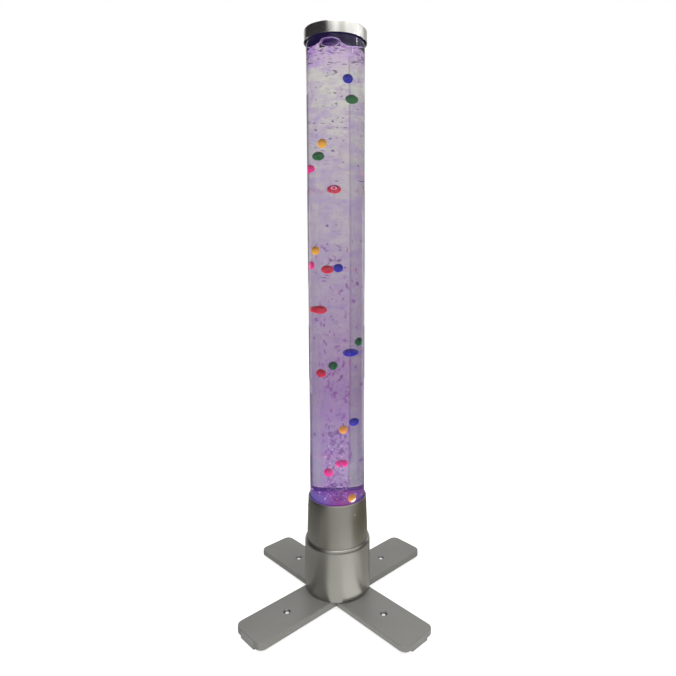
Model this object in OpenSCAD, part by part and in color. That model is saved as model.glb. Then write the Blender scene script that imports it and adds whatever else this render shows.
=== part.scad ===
// Bubble tube floor lamp: a clear water tube on a cross foot, with its air
// pump and lights in a two-part silver housing and a lift-off cap on top.

/* [Overall] */
// Height from the floor to the top of the cap
total_h = 1008; // [850:1:1400]

/* [Cross foot] */
// Length of a leg bar, tip to tip
leg_span = 402; // [360:2:480]
// Width of a leg bar
leg_w = 74; // [68:1:84]
// Height of the lower leg bar over its folded edges
leg_h = 10; // [9:0.5:14]
// Thickness of the pressed leg sheet
leg_sheet = 2; // [1.5:0.25:2.5]
// Corner radius at a leg's tip
leg_corner_r = 13; // [8:1:18]
// Circle through the fixing holes
hole_circle_d = 238; // [210:2:260]
// Diameter of a fixing hole
hole_d = 7; // [5:0.5:9]
// Diameter of the pressed sink around a fixing hole
dimple_d = 13; // [11:0.5:16]
// Depth of the pressed sink
dimple_h = 3; // [2:0.5:3.5]
// How far a foot pad stands below the leg
pad_h = 5; // [3:0.5:8]
// Width of a foot pad across the leg
pad_w = 38; // [28:1:44]
// Length of a foot pad along the leg
pad_l = 32; // [22:1:40]

/* [Base housing] */
// Height of the straight wall
base_h = 90; // [85:1:130]
// Wall thickness
base_wall = 1.5; // [1:0.25:2.25]
// Radius of the rounded shoulder
shoulder_r = 9; // [7:0.5:12]
// How far the shoulder turns inwards
shoulder_in = 3.2; // [2:0.1:4]

/* [Upper sleeve] */
// Visible height, from the shoulder to the rim
sleeve_h = 80; // [74:1:110]
// Extra radius at the foot of the cone
sleeve_flare = 3; // [1:0.25:5]
// Wall thickness
sleeve_wall = 1.5; // [1:0.25:2]
// Width of the rolled rim around the tube
sleeve_lip = 3.1; // [3:0.1:6]
// Height of the rolled rim
lip_h = 6; // [4:0.5:7]
// Length tucked into the base housing
sleeve_tuck = 10; // [6:1:20]

/* [Water tube] */
// Outer diameter of the clear tube
tube_d = 100; // [99:1:130]
// Wall thickness of the tube
tube_wall = 3; // [2:0.25:3.25]
// Depth of the tube's lower end below the rim
tube_sink = 16; // [13:0.5:18]
// Thickness of the opal base plate
plate_t = 6; // [5:0.5:8]
// Depth of the base plate's top below the rim
plate_drop = 5; // [3:0.5:8]
// Air space between the water and the tube's top edge
air_gap = 33; // [20:1:60]

/* [Cap] */
// Height of the cap
cap_h = 19; // [16:0.5:30]
// Wall thickness of the cap shell
cap_wall = 1.5; // [1:0.25:2]
// Radius of the cap's top edge
cap_edge_r = 2; // [2:0.5:6]
// Gap between the tube and the cap shell
cap_gap = 2; // [1:0.25:4]
// Thickness of the liner's roof
liner_h = 5.5; // [4:0.5:8]
// Depth of the liner's skirt inside the tube
skirt_h = 18; // [12:0.5:22]

/* [Floating balls] */
// Diameter of a ball
ball_d = 15; // [11:0.5:15]

/* [Air pump] */
// Length of the pump case
pump_l = 50; // [48:1:52]
// Width of the pump case
pump_w = 38; // [36:1:42]
// Height of the pump case without its cover
pump_h = 30; // [28:1:33]
// Outer diameter of the air hose
hose_d = 6; // [5.5:0.25:7]
// Bore of the air hose
hose_bore = 4; // [3.5:0.25:4.25]

/* [Lights] */
// Number of light diodes
led_count = 12; // [6:1:18]
// Circle of the light diodes
led_circle_d = 64; // [56:1:70]
// Space between the light board and the base plate
led_gap = 12; // [10:0.5:16]

/* [Hidden] */
$fn = 96;
cut = 1;            // overshoot of a cutting solid
slide_gap = 0.05;   // radial clearance of a pin in its bore
fit_gap = 0.2;      // clearance of a piece placed by hand

// Cross foot: the upper bar's sheet lies on the lower bar's sheet
LEG_ANGLES = [45, 135];            // upper bar, lower bar
lower_bar_top = pad_h + leg_h;
upper_bar_top = lower_bar_top + leg_sheet;
dimple_land = 1.5;                 // straight wall below the lower bar's sink
collar_z = lower_bar_top - dimple_h - dimple_land; // where the collars of all four holes end
dimple_skin = 1.6;

// Base housing
tube_r = tube_d / 2;
tube_in_r = tube_r - tube_wall;
tube_gap = 0.4;                    // rim to tube
rim_r = tube_r + tube_gap + sleeve_lip;
sleeve_low_r = rim_r + sleeve_flare;
mouth_gap = 0.3;                   // sleeve to shoulder
mouth_in_r = sleeve_low_r + mouth_gap;
mouth_edge = 0.5;                  // flat edge on top of the shoulder
base_r = mouth_in_r + mouth_edge + shoulder_in;
base_in_r = base_r - base_wall;
base_z = upper_bar_top;
shoulder_rise = sqrt(pow(shoulder_r, 2) - pow(shoulder_r - shoulder_in, 2));
mouth_z = base_z + base_h + shoulder_rise;
rim_z = mouth_z + sleeve_h;
rim_edge_r = 1.4;

// Outer and inner radius of the sleeve's cone at a height
function sleeve_r(z) = sleeve_low_r - sleeve_flare * max(0, z - mouth_z) / sleeve_h;
function sleeve_in_r(z) = sleeve_r(z) - sleeve_wall;

// Tube and cap
cap_r = tube_r + cap_gap + cap_wall;
cap_z = total_h - cap_h;
tube_z = rim_z - tube_sink;
tube_top = total_h - cap_wall - liner_h;
plate_top = rim_z - plate_drop;
plate_z = plate_top - plate_t;
skirt_r = tube_in_r - fit_gap;
skirt_wall = 2;
seal_w = 2;
seal_depth = 1.2;
vent_d = 3;
vent_count = 3;

// Light unit, from the base plate down
led_board_t = 1.6;
led_board_top = plate_z - led_gap;
led_ledge_z = led_board_top - led_board_t;
seat_ledge_h = 14;                 // seat floor to the ledge of the light board
seat_floor_t = 3;
carrier_t = 4;
seat_z = led_ledge_z - seat_ledge_h;
carrier_z = seat_z - carrier_t;
seat_r = rim_r - sleeve_wall - fit_gap;
seat_top = rim_z - lip_h - 1;
seat_shelf = 4;                    // width of the shelf under the tube
seat_ledge = 3;                    // width of the ledge under the light board
seat_shelf_r = tube_r - seat_shelf;
seat_ledge_r = seat_shelf_r - seat_ledge;
led_board_r = seat_shelf_r - 0.5;

// Posts that carry the tube
pan_t = 3;
pan_rim_h = 8;
pan_rim_t = 2;
pan_r = base_in_r - fit_gap;
pan_top = base_z + pan_t;
post_d = 8;
post_circle_r = seat_ledge_r - 7;
POST_ANGLES = [0, 90, 180, 270];
stud_r = 2;
stud_h = 9;
screw_r = 2;
screw_head_r = 3.5;
screw_head_h = 3;
screw_grip = 12;                   // depth of a screw in its post
seat_floor_r = post_circle_r - 6;

// Pump, board and air line
pump_foot_h = 3;
pump_foot_r = 4;
pump_wall = 2;
pump_z = pan_top + pump_foot_h;
cover_t = 3;
pump_top = pump_z + pump_h + cover_t;
lower_post_h = pump_top - pan_top + 10;
board_z = pan_top + lower_post_h;
board_t = 1.6;
board_top = board_z + board_t;
board_r = base_in_r - 3;
board_hole_r = 18;
barb_r = hose_bore / 2 - slide_gap;
barb_bore_r = 1;
air_x = 12;                        // the pump's air outlet
air_y = 5;
air_offset = sqrt(air_x * air_x + air_y * air_y);
air_turn = atan2(-air_y, -air_x);  // direction from the outlet to the tube's axis
bend_cos = 0.8;                    // slope of the hose halfway across
bend_angle = acos(bend_cos);
bend_r = air_offset / 2 / (1 - bend_cos);
bend_rise = 2 * bend_r * sqrt(1 - bend_cos * bend_cos);
valve_z = board_top + 12;
valve_r = 6;
valve_h = 16;
barb_h = 6;
bend_z = valve_z + valve_h + 10;

// Air nozzle in the base plate
nozzle_r = 8;
nozzle_head_h = 2.5;
seal_t = 1;
stem_r = 5;
nut_r = 8;
nut_h = 4;
nozzle_barb_h = 14;

// Small screws that hold the two housing shells
shell_screw_r = 1.2;
shell_screw_head_r = 2;
shell_screw_head_h = 0.8;
SLEEVE_SCREW_ANGLES = [-53, 67, 187];
HOUSING_SCREW_ANGLES = [35, 145];
sleeve_screw_z = (led_board_top + tube_z) / 2;
housing_screw_z = pan_top + pan_rim_h / 2;

// Controls at the back, on the board's edge
INLET_ANGLE = 105;
BUTTON_ANGLE = 75;
control_z = board_top + 5.5;
inlet_barrel_r = 5.4;
inlet_hole_r = 5.7;
socket_r = 2.8;
button_r = 4;
button_hole_r = 4.3;
button_flange_r = 5.5;
button_flange_t = 1;
button_proud = 1.8;
button_travel = 1;

// Columns in which the balls rise and sink: two rings around the bubble stream
ball_r = ball_d / 2;
ball_gap = 0.7;
wall_gap = 0.4;
outer_ring_r = tube_in_r - ball_r - wall_gap;
inner_ring_r = outer_ring_r - ball_d - ball_gap;
function ring_slots(r) = floor(180 / asin((ball_r + ball_gap / 2) / r));
ball_low = plate_top + ball_r + wall_gap;
ball_high = tube_top - air_gap - ball_r;
// Name, colour, ring radius, slot on the ring, share of the way up the water
BALLS = [
    ["ball_blue_1", "mediumblue", inner_ring_r, 8, 0.955],
    ["ball_blue_2", "mediumblue", inner_ring_r, 7, 0.545],
    ["ball_blue_3", "mediumblue", outer_ring_r, 3, 0.340],
    ["ball_blue_4", "mediumblue", inner_ring_r, 0, 0.180],
    ["ball_green_1", "seagreen", inner_ring_r, 1, 0.920],
    ["ball_green_2", "seagreen", inner_ring_r, 4, 0.795],
    ["ball_green_3", "seagreen", outer_ring_r, 14, 0.375],
    ["ball_green_4", "seagreen", outer_ring_r, 11, 0.325],
    ["ball_amber_1", "orange", outer_ring_r, 10, 0.815],
    ["ball_amber_2", "orange", outer_ring_r, 9, 0.584],
    ["ball_amber_3", "orange", outer_ring_r, 12, 0.175],
    ["ball_amber_4", "orange", outer_ring_r, 13, 0.005],
    ["ball_pink_1", "hotpink", outer_ring_r, 6, 0.770],
    ["ball_pink_2", "hotpink", outer_ring_r, 8, 0.550],
    ["ball_pink_3", "hotpink", inner_ring_r, 2, 0.070],
    ["ball_pink_4", "hotpink", inner_ring_r, 6, 0.065],
    ["ball_red_1", "crimson", outer_ring_r, 4, 0.725],
    ["ball_red_2", "crimson", inner_ring_r, 3, 0.540],
    ["ball_red_3", "crimson", outer_ring_r, 5, 0.444],
    ["ball_red_4", "crimson", inner_ring_r, 5, 0.300],
];

// ---- Helpers ----

// A ring from z upwards
module ring(outer_r, inner_r, z, h) {
    translate([0, 0, z])
        difference() {
            cylinder(r = outer_r, h = h);
            translate([0, 0, -cut]) cylinder(r = inner_r, h = h + 2 * cut);
        }
}

// A solid disc from z upwards
module disc(r, z, h) {
    translate([0, 0, z]) cylinder(r = r, h = h);
}

// Puts its children at each angle on a circle
module around(angles, r) {
    for (a = angles) rotate([0, 0, a]) translate([r, 0, 0]) children();
}

// Turns a cylinder that points up into one that points outwards along +X
module outwards() {
    rotate([0, 90, 0]) children();
}

// Points of an arc in the profile plane
function arc_points(cx, cz, r, from, to, steps) =
    [for (i = [0:steps]) let (a = from + (to - from) * i / steps) [cx + r * cos(a), cz + r * sin(a)]];

// ---- Cross foot ----

module leg_outline(inset) {
    l = leg_span - 2 * inset;
    w = leg_w - 2 * inset;
    r = leg_corner_r - inset;
    square([l - 2 * r, w], center = true);
    square([l, w - 2 * r], center = true);
    for (sx = [-1, 1], sy = [-1, 1])
        translate([sx * (l / 2 - r), sy * (w / 2 - r)]) circle(r = r);
}

// The pressed sink with its collar, below a sheet whose top is at z = 0
module dimple_boss(land) {
    translate([0, 0, -dimple_h - land])
        cylinder(r = hole_d / 2 + dimple_skin, h = land);
    translate([0, 0, -dimple_h])
        cylinder(r1 = hole_d / 2 + dimple_skin, r2 = dimple_d / 2 + dimple_skin,
            h = dimple_h - leg_sheet / 2);
}

module dimple_cut(land) {
    translate([0, 0, -dimple_h]) cylinder(r1 = hole_d / 2, r2 = dimple_d / 2, h = dimple_h);
    translate([0, 0, -dimple_h - land - cut])
        cylinder(r = hole_d / 2, h = land + 2 * cut);
}

// A channel pressed from sheet, open below, from z = pad_h up to top_z
module leg_bar(angle, top_z) {
    land = top_z - dimple_h - collar_z;
    rotate([0, 0, angle])
        difference() {
            union() {
                difference() {
                    translate([0, 0, pad_h]) linear_extrude(top_z - pad_h) leg_outline(0);
                    translate([0, 0, pad_h - cut])
                        linear_extrude(top_z - leg_sheet - pad_h + cut) leg_outline(leg_sheet);
                }
                for (s = [-1, 1]) translate([s * hole_circle_d / 2, 0, top_z]) dimple_boss(land);
            }
            for (s = [-1, 1]) translate([s * hole_circle_d / 2, 0, top_z]) dimple_cut(land);
            // the end folds are open where the foot pads come through
            for (s = [-1, 1])
                translate([s * leg_span / 2, 0, (pad_h - cut + top_z - leg_sheet) / 2])
                    cube([2 * leg_sheet + cut, pad_w + 2 * fit_gap, top_z - leg_sheet - pad_h + cut],
                        center = true);
            rotate([0, 0, -angle]) around(POST_ANGLES, post_circle_r)
                cylinder(r = screw_r + fit_gap, h = top_z + cut);
        }
}

module upper_leg_bar() {
    color("darkgray")
        difference() {
            leg_bar(LEG_ANGLES[0], upper_bar_top);
            // its edges are cut away where it crosses the lower bar
            rotate([0, 0, LEG_ANGLES[0]])
                translate([-leg_w / 2 - fit_gap, -leg_w, 0])
                    cube([leg_w + 2 * fit_gap, 2 * leg_w, lower_bar_top]);
        }
}

module lower_leg_bar() {
    color("darkgray") leg_bar(LEG_ANGLES[1], lower_bar_top);
}

module foot_pads() {
    color("dimgray")
        for (i = [0, 1], s = [0, 180])
            rotate([0, 0, LEG_ANGLES[i] + s])
                translate([leg_span / 2 - pad_l, -pad_w / 2, 0])
                    cube([pad_l, pad_w, (i == 0 ? upper_bar_top : lower_bar_top) - leg_sheet]);
}

// ---- Base housing and what it stands on ----

module base_pan() {
    color("gray")
        difference() {
            union() {
                disc(pan_r, base_z, pan_t);
                ring(pan_r, pan_r - pan_rim_t, pan_top, pan_rim_h);
            }
            around(POST_ANGLES, post_circle_r) disc(screw_r + fit_gap, 0, pan_top + cut);
            around(HOUSING_SCREW_ANGLES, 0)
                translate([0, 0, housing_screw_z]) outwards()
                    cylinder(r = shell_screw_r + slide_gap, h = base_r);
        }
}

// The housing's half profile; inset = 0 is its outside
module base_profile(inset) {
    r = shoulder_r - inset;
    square([base_r - inset, base_h]);
    translate([0, base_h]) square([base_r - shoulder_r, shoulder_rise]);
    translate([base_r - shoulder_r, base_h])
        intersection() {
            circle(r = r);
            square([shoulder_r, shoulder_rise]);
        }
}

module base_housing() {
    color("silver")
        difference() {
            translate([0, 0, base_z])
                rotate_extrude()
                    difference() {
                        base_profile(0);
                        translate([0, -cut]) square([base_in_r, base_h + cut]);
                        base_profile(base_wall);
                        square([mouth_in_r, base_h + shoulder_r]);
                    }
            rotate([0, 0, INLET_ANGLE]) translate([base_in_r - 4, 0, control_z])
                outwards() cylinder(r = inlet_hole_r, h = 8);
            rotate([0, 0, BUTTON_ANGLE]) translate([base_in_r - 4, 0, control_z])
                outwards() cylinder(r = button_hole_r, h = 8);
            around(HOUSING_SCREW_ANGLES, 0)
                translate([0, 0, housing_screw_z]) outwards()
                    cylinder(r = shell_screw_r + slide_gap, h = base_r + cut);
        }
}

module upper_sleeve() {
    inner_lip_r = tube_r + tube_gap;
    lip_z = rim_z - lip_h;
    color("silver")
        difference() {
            rotate_extrude()
                polygon(concat(
                    [[sleeve_low_r, mouth_z - sleeve_tuck], [sleeve_low_r, mouth_z]],
                    arc_points(rim_r - rim_edge_r, rim_z - rim_edge_r, rim_edge_r, 0, 90, 6),
                    arc_points(inner_lip_r + rim_edge_r, rim_z - rim_edge_r, rim_edge_r, 90, 180, 6),
                    [[inner_lip_r, lip_z], [sleeve_in_r(lip_z), lip_z]],
                    [[sleeve_in_r(mouth_z), mouth_z], [sleeve_in_r(mouth_z), mouth_z - sleeve_tuck]]
                ));
            around(SLEEVE_SCREW_ANGLES, tube_r)
                translate([0, 0, sleeve_screw_z]) outwards()
                    cylinder(r = shell_screw_r + slide_gap, h = base_r - tube_r);
        }
}

// A small screw whose head rests on a shell of radius r
module shell_screw(r, length) {
    translate([r - length, 0, 0]) outwards() cylinder(r = shell_screw_r, h = length);
    translate([r, 0, 0]) outwards()
        difference() {
            cylinder(r = shell_screw_head_r, h = shell_screw_head_h);
            translate([0, 0, shell_screw_head_h / 2]) cylinder(r = 0.8, h = cut, $fn = 6);
        }
}

module shell_screws() {
    color("gainsboro") {
        around(SLEEVE_SCREW_ANGLES, 0)
            translate([0, 0, sleeve_screw_z])
                shell_screw(sleeve_r(sleeve_screw_z - shell_screw_head_r), 6);
        around(HOUSING_SCREW_ANGLES, 0)
            translate([0, 0, housing_screw_z]) shell_screw(base_r, 6);
    }
}

// ---- Posts and plates that carry the tube ----

module pan_head_screw(length) {
    cylinder(r = screw_r, h = length);
    translate([0, 0, -screw_head_h])
        difference() {
            cylinder(r = screw_head_r, h = screw_head_h);
            translate([0, 0, -cut]) cylinder(r = 1.5, h = screw_head_h / 2 + cut, $fn = 6);
        }
}

module post_screws() {
    lower_sheet_z = lower_bar_top - leg_sheet;
    color("lightgray") {
        around(POST_ANGLES, post_circle_r)
            translate([0, 0, lower_sheet_z]) pan_head_screw(pan_top - lower_sheet_z + screw_grip);
        around(POST_ANGLES, post_circle_r)
            translate([0, 0, seat_z + seat_floor_t]) mirror([0, 0, 1])
                pan_head_screw(seat_floor_t + carrier_t + screw_grip);
    }
}

module lower_posts() {
    color("lightslategray")
        around(POST_ANGLES, post_circle_r)
            difference() {
                union() {
                    disc(post_d / 2, pan_top, lower_post_h);
                    disc(stud_r, board_z, board_t + stud_h);
                }
                disc(screw_r + slide_gap, pan_top - cut, screw_grip + 2 + cut);
            }
}

module upper_posts() {
    color("lightslategray")
        around(POST_ANGLES, post_circle_r)
            difference() {
                disc(post_d / 2, board_top, carrier_z - board_top);
                disc(stud_r + slide_gap, board_top - cut, stud_h + 2 + cut);
                disc(screw_r + slide_gap, carrier_z - screw_grip - 2, screw_grip + 2 + cut);
            }
}

module carrier_plate() {
    color("gray")
        difference() {
            disc(sleeve_in_r(carrier_z + carrier_t) - fit_gap, carrier_z, carrier_t);
            disc(nut_r + 3, carrier_z - cut, carrier_t + 2 * cut);
            around(POST_ANGLES, post_circle_r)
                disc(screw_r + fit_gap, carrier_z - cut, carrier_t + 2 * cut);
            rotate([0, 0, led_cable_angle]) translate([led_cable_r, 0, 0])
                disc(led_cable_d / 2 + 1, carrier_z - cut, carrier_t + 2 * cut);
        }
}

module tube_seat() {
    cup_r = tube_r + tube_gap / 2;
    color("whitesmoke")
        difference() {
            translate([0, 0, seat_z])
                rotate_extrude()
                    polygon([
                        [seat_floor_r, 0], [seat_r, 0],
                        [seat_r, seat_top - seat_z], [cup_r, seat_top - seat_z],
                        [cup_r, tube_z - seat_z], [seat_shelf_r, tube_z - seat_z],
                        [seat_shelf_r, seat_ledge_h], [seat_ledge_r, seat_ledge_h],
                        [seat_ledge_r, seat_floor_t], [seat_floor_r, seat_floor_t],
                    ]);
            around(POST_ANGLES, post_circle_r)
                disc(screw_r + fit_gap, seat_z - cut, seat_floor_t + 2 * cut);
            around(SLEEVE_SCREW_ANGLES, seat_shelf_r - cut)
                translate([0, 0, sleeve_screw_z]) outwards()
                    cylinder(r = shell_screw_r + slide_gap, h = seat_r);
        }
}

// ---- Lights ----

module led_board() {
    color("white") ring(led_board_r, nut_r + 3, led_ledge_z, led_board_t);
}

module leds() {
    led_w = 5;
    led_h = 1.6;
    lens_r = 1.9;
    lens_h = 0.5;
    color("lavender")
        around([for (i = [0:led_count - 1]) i * 360 / led_count], led_circle_d / 2)
            translate([0, 0, led_board_top]) {
                translate([-led_w / 2, -led_w / 2, 0]) cube([led_w, led_w, led_h]);
                translate([0, 0, led_h]) cylinder(r = lens_r, h = lens_h);
            }
}

// ---- Water tube ----

module tube() {
    color("lightcyan", 0.35) ring(tube_r, tube_in_r, tube_z, tube_top - tube_z);
}

module tube_base_plate() {
    color("ghostwhite") ring(tube_in_r, stem_r + slide_gap, plate_z, plate_t);
}

module air_nozzle() {
    head_z = plate_top + seal_t;
    plenum_z = head_z + 0.5;
    stem_z = plate_z - nut_h - 0.5;
    color("dimgray")
        difference() {
            union() {
                disc(nozzle_r, head_z, nozzle_head_h);
                disc(stem_r, stem_z, head_z - stem_z);
                disc(barb_r, stem_z - nozzle_barb_h, nozzle_barb_h);
            }
            disc(barb_bore_r, stem_z - nozzle_barb_h - cut, plenum_z - stem_z + nozzle_barb_h + 2 * cut);
            disc(stem_r, plenum_z, 1);
            around([0, 60, 120, 180, 240, 300], stem_r - 1) disc(0.6, plenum_z, nozzle_head_h);
        }
}

module nozzle_seal() {
    color("black") ring(nozzle_r, stem_r + slide_gap, plate_top, seal_t);
}

module nozzle_nut() {
    color("darkgray")
        translate([0, 0, plate_z - nut_h])
            difference() {
                cylinder(r = nut_r, h = nut_h, $fn = 6);
                translate([0, 0, -cut]) cylinder(r = stem_r + slide_gap, h = nut_h + 2 * cut);
            }
}

// ---- Air line ----

// A solid rod of radius r along the upper hose's route
module upper_hose_rod(r, extra) {
    start_z = valve_z + valve_h + 0.5;
    end_z = plate_z - nut_h - 1;
    translate([air_x, air_y, 0]) {
        disc(r, start_z - extra, bend_z - start_z + extra);
        translate([0, 0, bend_z])
            rotate([0, 0, air_turn]) {
                // first bend, towards the tube's axis
                translate([bend_r, 0, 0]) rotate([90, 0, 180]) rotate_extrude(angle = bend_angle)
                    translate([bend_r, 0]) circle(r = r);
                // second bend, back to upright
                translate([air_offset - bend_r, 0, bend_rise]) rotate([-90, 0, 0])
                    rotate_extrude(angle = bend_angle) translate([bend_r, 0]) circle(r = r);
                translate([air_offset, 0, 0]) disc(r, bend_rise, end_z - bend_z - bend_rise + extra);
            }
    }
}

module upper_air_hose() {
    color("whitesmoke")
        difference() {
            upper_hose_rod(hose_d / 2, 0);
            upper_hose_rod(hose_bore / 2, cut);
        }
}

module lower_air_hose() {
    color("whitesmoke")
        translate([air_x, air_y, 0])
            ring(hose_d / 2, hose_bore / 2, pump_top + 0.5, valve_z - pump_top - 1);
}

module check_valve_body() {
    chamber_r = valve_r - 1.5;
    color("skyblue")
        translate([air_x, air_y, valve_z])
            difference() {
                union() {
                    cylinder(r = valve_r, h = valve_h);
                    translate([0, 0, -barb_h]) cylinder(r = barb_r, h = valve_h + 2 * barb_h);
                }
                translate([0, 0, poppet_seat]) cylinder(r = chamber_r, h = valve_h - 2 * poppet_seat);
                translate([0, 0, -barb_h - cut])
                    cylinder(r = barb_bore_r, h = valve_h + 2 * barb_h + 2 * cut);
            }
}

poppet_seat = 4;
poppet_r = 3;
poppet_t = 2;

module check_valve_poppet() {
    color("firebrick")
        translate([air_x, air_y, valve_z + poppet_seat]) cylinder(r = poppet_r, h = poppet_t);
}

// ---- Air pump ----

module pump_box(l, w, z, h) {
    translate([-l / 2, -w / 2, z]) cube([l, w, h]);
}

module pump_case() {
    color("darkslategray")
        union() {
            difference() {
                pump_box(pump_l, pump_w, pump_z, pump_h);
                pump_box(pump_l - 2 * pump_wall, pump_w - 2 * pump_wall, pump_z + pump_wall, pump_h);
            }
            // pin on which the arm rocks
            translate([pivot_x, pivot_y, 0]) disc(pivot_r, pump_z + pump_wall, pump_h - pump_wall);
        }
}

module pump_cover() {
    color("slategray")
        difference() {
            union() {
                pump_box(pump_l, pump_w, pump_z + pump_h, cover_t);
                pump_box(pump_l - 2 * pump_wall - 2 * fit_gap, pump_w - 2 * pump_wall - 2 * fit_gap,
                    pump_z + pump_h - 1, 1);
            }
            translate([air_x, air_y, 0]) disc(barb_r + fit_gap, pump_z, pump_h + cover_t + cut);
            translate([pivot_x, pivot_y, 0]) disc(pivot_r + slide_gap, pump_z, pump_h);
        }
}

module pump_feet() {
    color("black")
        for (sx = [-1, 1], sy = [-1, 1])
            translate([sx * (pump_l / 2 - pump_foot_r), sy * (pump_w / 2 - pump_foot_r), 0])
                disc(pump_foot_r, pan_top, pump_foot_h);
}

pivot_r = 1.5;
pivot_x = 19;
pivot_y = -11;
arm_t = 2;
arm_l = 38;
arm_h = 12;
arm_z = pump_z + 9;
magnet_l = 8;
magnet_t = 4;
core_w = 6;
core_h = 8;
coil_wall = 5;
core_x = -13;
core_face_y = -4;
yoke_y = pump_w / 2 - pump_wall - 3;
chamber_x = 6;
chamber_r = 6;
block_l = 22;
block_y = -3;
block_d = 15;

module pump_arm() {
    color("silver")
        translate([pivot_x, pivot_y, arm_z])
            difference() {
                union() {
                    cylinder(r = 3, h = arm_h);
                    translate([-arm_l, -arm_t / 2, 0]) cube([arm_l, arm_t, arm_h]);
                }
                translate([0, 0, -cut]) cylinder(r = pivot_r + slide_gap, h = arm_h + 2 * cut);
            }
}

module pump_magnet() {
    color("dimgray")
        translate([pivot_x - arm_l, pivot_y + arm_t / 2, arm_z + 1])
            cube([magnet_l, magnet_t, arm_h - 2]);
}

module pump_diaphragm() {
    disc_t = 2;
    stem_l = block_y - 1.5 - (pivot_y + arm_t / 2);
    color("black")
        translate([chamber_x, pivot_y + arm_t / 2, arm_z + arm_h / 2]) rotate([-90, 0, 0]) {
            cylinder(r = 2, h = stem_l);
            translate([0, 0, stem_l]) cylinder(r = chamber_r - 0.5, h = disc_t);
        }
}

module pump_core() {
    core_z = arm_z + arm_h / 2 - core_h / 2;
    color("gray") {
        translate([core_x - core_w / 2, core_face_y, core_z]) cube([core_w, yoke_y - core_face_y, core_h]);
        translate([core_x - core_w / 2 - coil_wall, yoke_y, core_z])
            cube([core_w + 2 * coil_wall, 3, core_h]);
    }
}

module pump_coil() {
    core_z = arm_z + arm_h / 2 - core_h / 2;
    coil_y = core_face_y + 2;
    color("peru")
        difference() {
            translate([core_x - core_w / 2 - coil_wall, coil_y, core_z - coil_wall])
                cube([core_w + 2 * coil_wall, yoke_y - coil_y, core_h + 2 * coil_wall]);
            translate([core_x - core_w / 2 - slide_gap, coil_y - cut, core_z - slide_gap])
                cube([core_w + 2 * slide_gap, yoke_y - coil_y + 2 * cut, core_h + 2 * slide_gap]);
        }
}

module pump_valve_block() {
    block_z = pump_z + pump_wall;
    block_top = pump_z + pump_h - 3;
    color("lightgray")
        difference() {
            union() {
                translate([0, block_y, block_z]) cube([block_l, block_d, block_top - block_z]);
                translate([air_x, air_y, 0]) disc(barb_r, block_top, pump_top + 8 - block_top);
            }
            translate([chamber_x, block_y - cut, arm_z + arm_h / 2]) rotate([-90, 0, 0])
                cylinder(r = chamber_r, h = 5 + cut);
            translate([air_x, air_y, 0])
                disc(barb_bore_r, arm_z + arm_h / 2, pump_top + 8 + cut - arm_z - arm_h / 2);
            // passage from the chamber to the outlet
            translate([chamber_x - barb_bore_r, 0, arm_z + arm_h / 2 - barb_bore_r])
                cube([air_x - chamber_x + 2 * barb_bore_r, air_y + barb_bore_r, 2 * barb_bore_r]);
        }
}

// ---- Control board, controls and wiring ----

led_cable_angle = 180;
led_cable_r = 24;
led_cable_d = 3;

module control_board() {
    color("darkgreen")
        difference() {
            disc(board_r, board_z, board_t);
            disc(board_hole_r, board_z - cut, board_t + 2 * cut);
            around(POST_ANGLES, post_circle_r) disc(stud_r + slide_gap, board_z - cut, board_t + 2 * cut);
        }
}

switch_x = base_in_r - 17;
switch_w = 7;

module board_parts() {
    color("dimgray") {
        // push switch behind the button, with its plunger
        rotate([0, 0, BUTTON_ANGLE]) {
            translate([switch_x, -switch_w / 2, board_top]) cube([6, switch_w, 9]);
            translate([switch_x + 6, 0, control_z]) outwards() cylinder(r = 1.5, h = 1.8);
        }
        // driver chip, capacitor and plug-in connectors
        translate([-5, -board_r + 6, board_top]) cube([10, 8, 2]);
        rotate([0, 0, 225]) translate([board_r - 12, 0, board_top]) cylinder(r = 5, h = 12);
        rotate([0, 0, 315]) translate([board_r - 14, -6, board_top]) cube([8, 12, 7]);
        rotate([0, 0, 20]) translate([board_r - 14, -5, board_top]) cube([8, 10, 6]);
    }
}

module power_inlet() {
    inlet_l = 12;
    body_x = base_in_r - 1.5 - inlet_l;
    color("black")
        rotate([0, 0, INLET_ANGLE])
            difference() {
                union() {
                    translate([body_x, -4.5, board_top]) cube([inlet_l, 9, 11]);
                    translate([body_x + inlet_l, 0, control_z]) outwards()
                        cylinder(r = inlet_barrel_r, h = base_r + 0.5 - body_x - inlet_l);
                }
                translate([body_x + 4, 0, control_z]) outwards()
                    difference() {
                        cylinder(r = socket_r, h = 20);
                        translate([0, 0, -cut]) cylinder(r = 1, h = 20);
                    }
                // the centre pin ends inside the socket
                translate([base_r - 2, 0, control_z]) outwards() cylinder(r = socket_r, h = 5);
            }
}

module push_button() {
    stem_end = switch_x + 6 + 1.8 + button_travel + 0.3;
    flange_x = sqrt(pow(base_in_r, 2) - pow(button_flange_r, 2)) - fit_gap - button_flange_t;
    color("whitesmoke")
        rotate([0, 0, BUTTON_ANGLE]) translate([0, 0, control_z]) outwards() {
            disc(button_r, stem_end, base_r + button_proud - stem_end);
            disc(button_flange_r, flange_x, button_flange_t);
        }
}

// A plug, centred over x and y, from z upwards
module plug(x, y, z, h) {
    translate([x - 4, y - 3, z]) cube([8, 6, h]);
}

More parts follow.
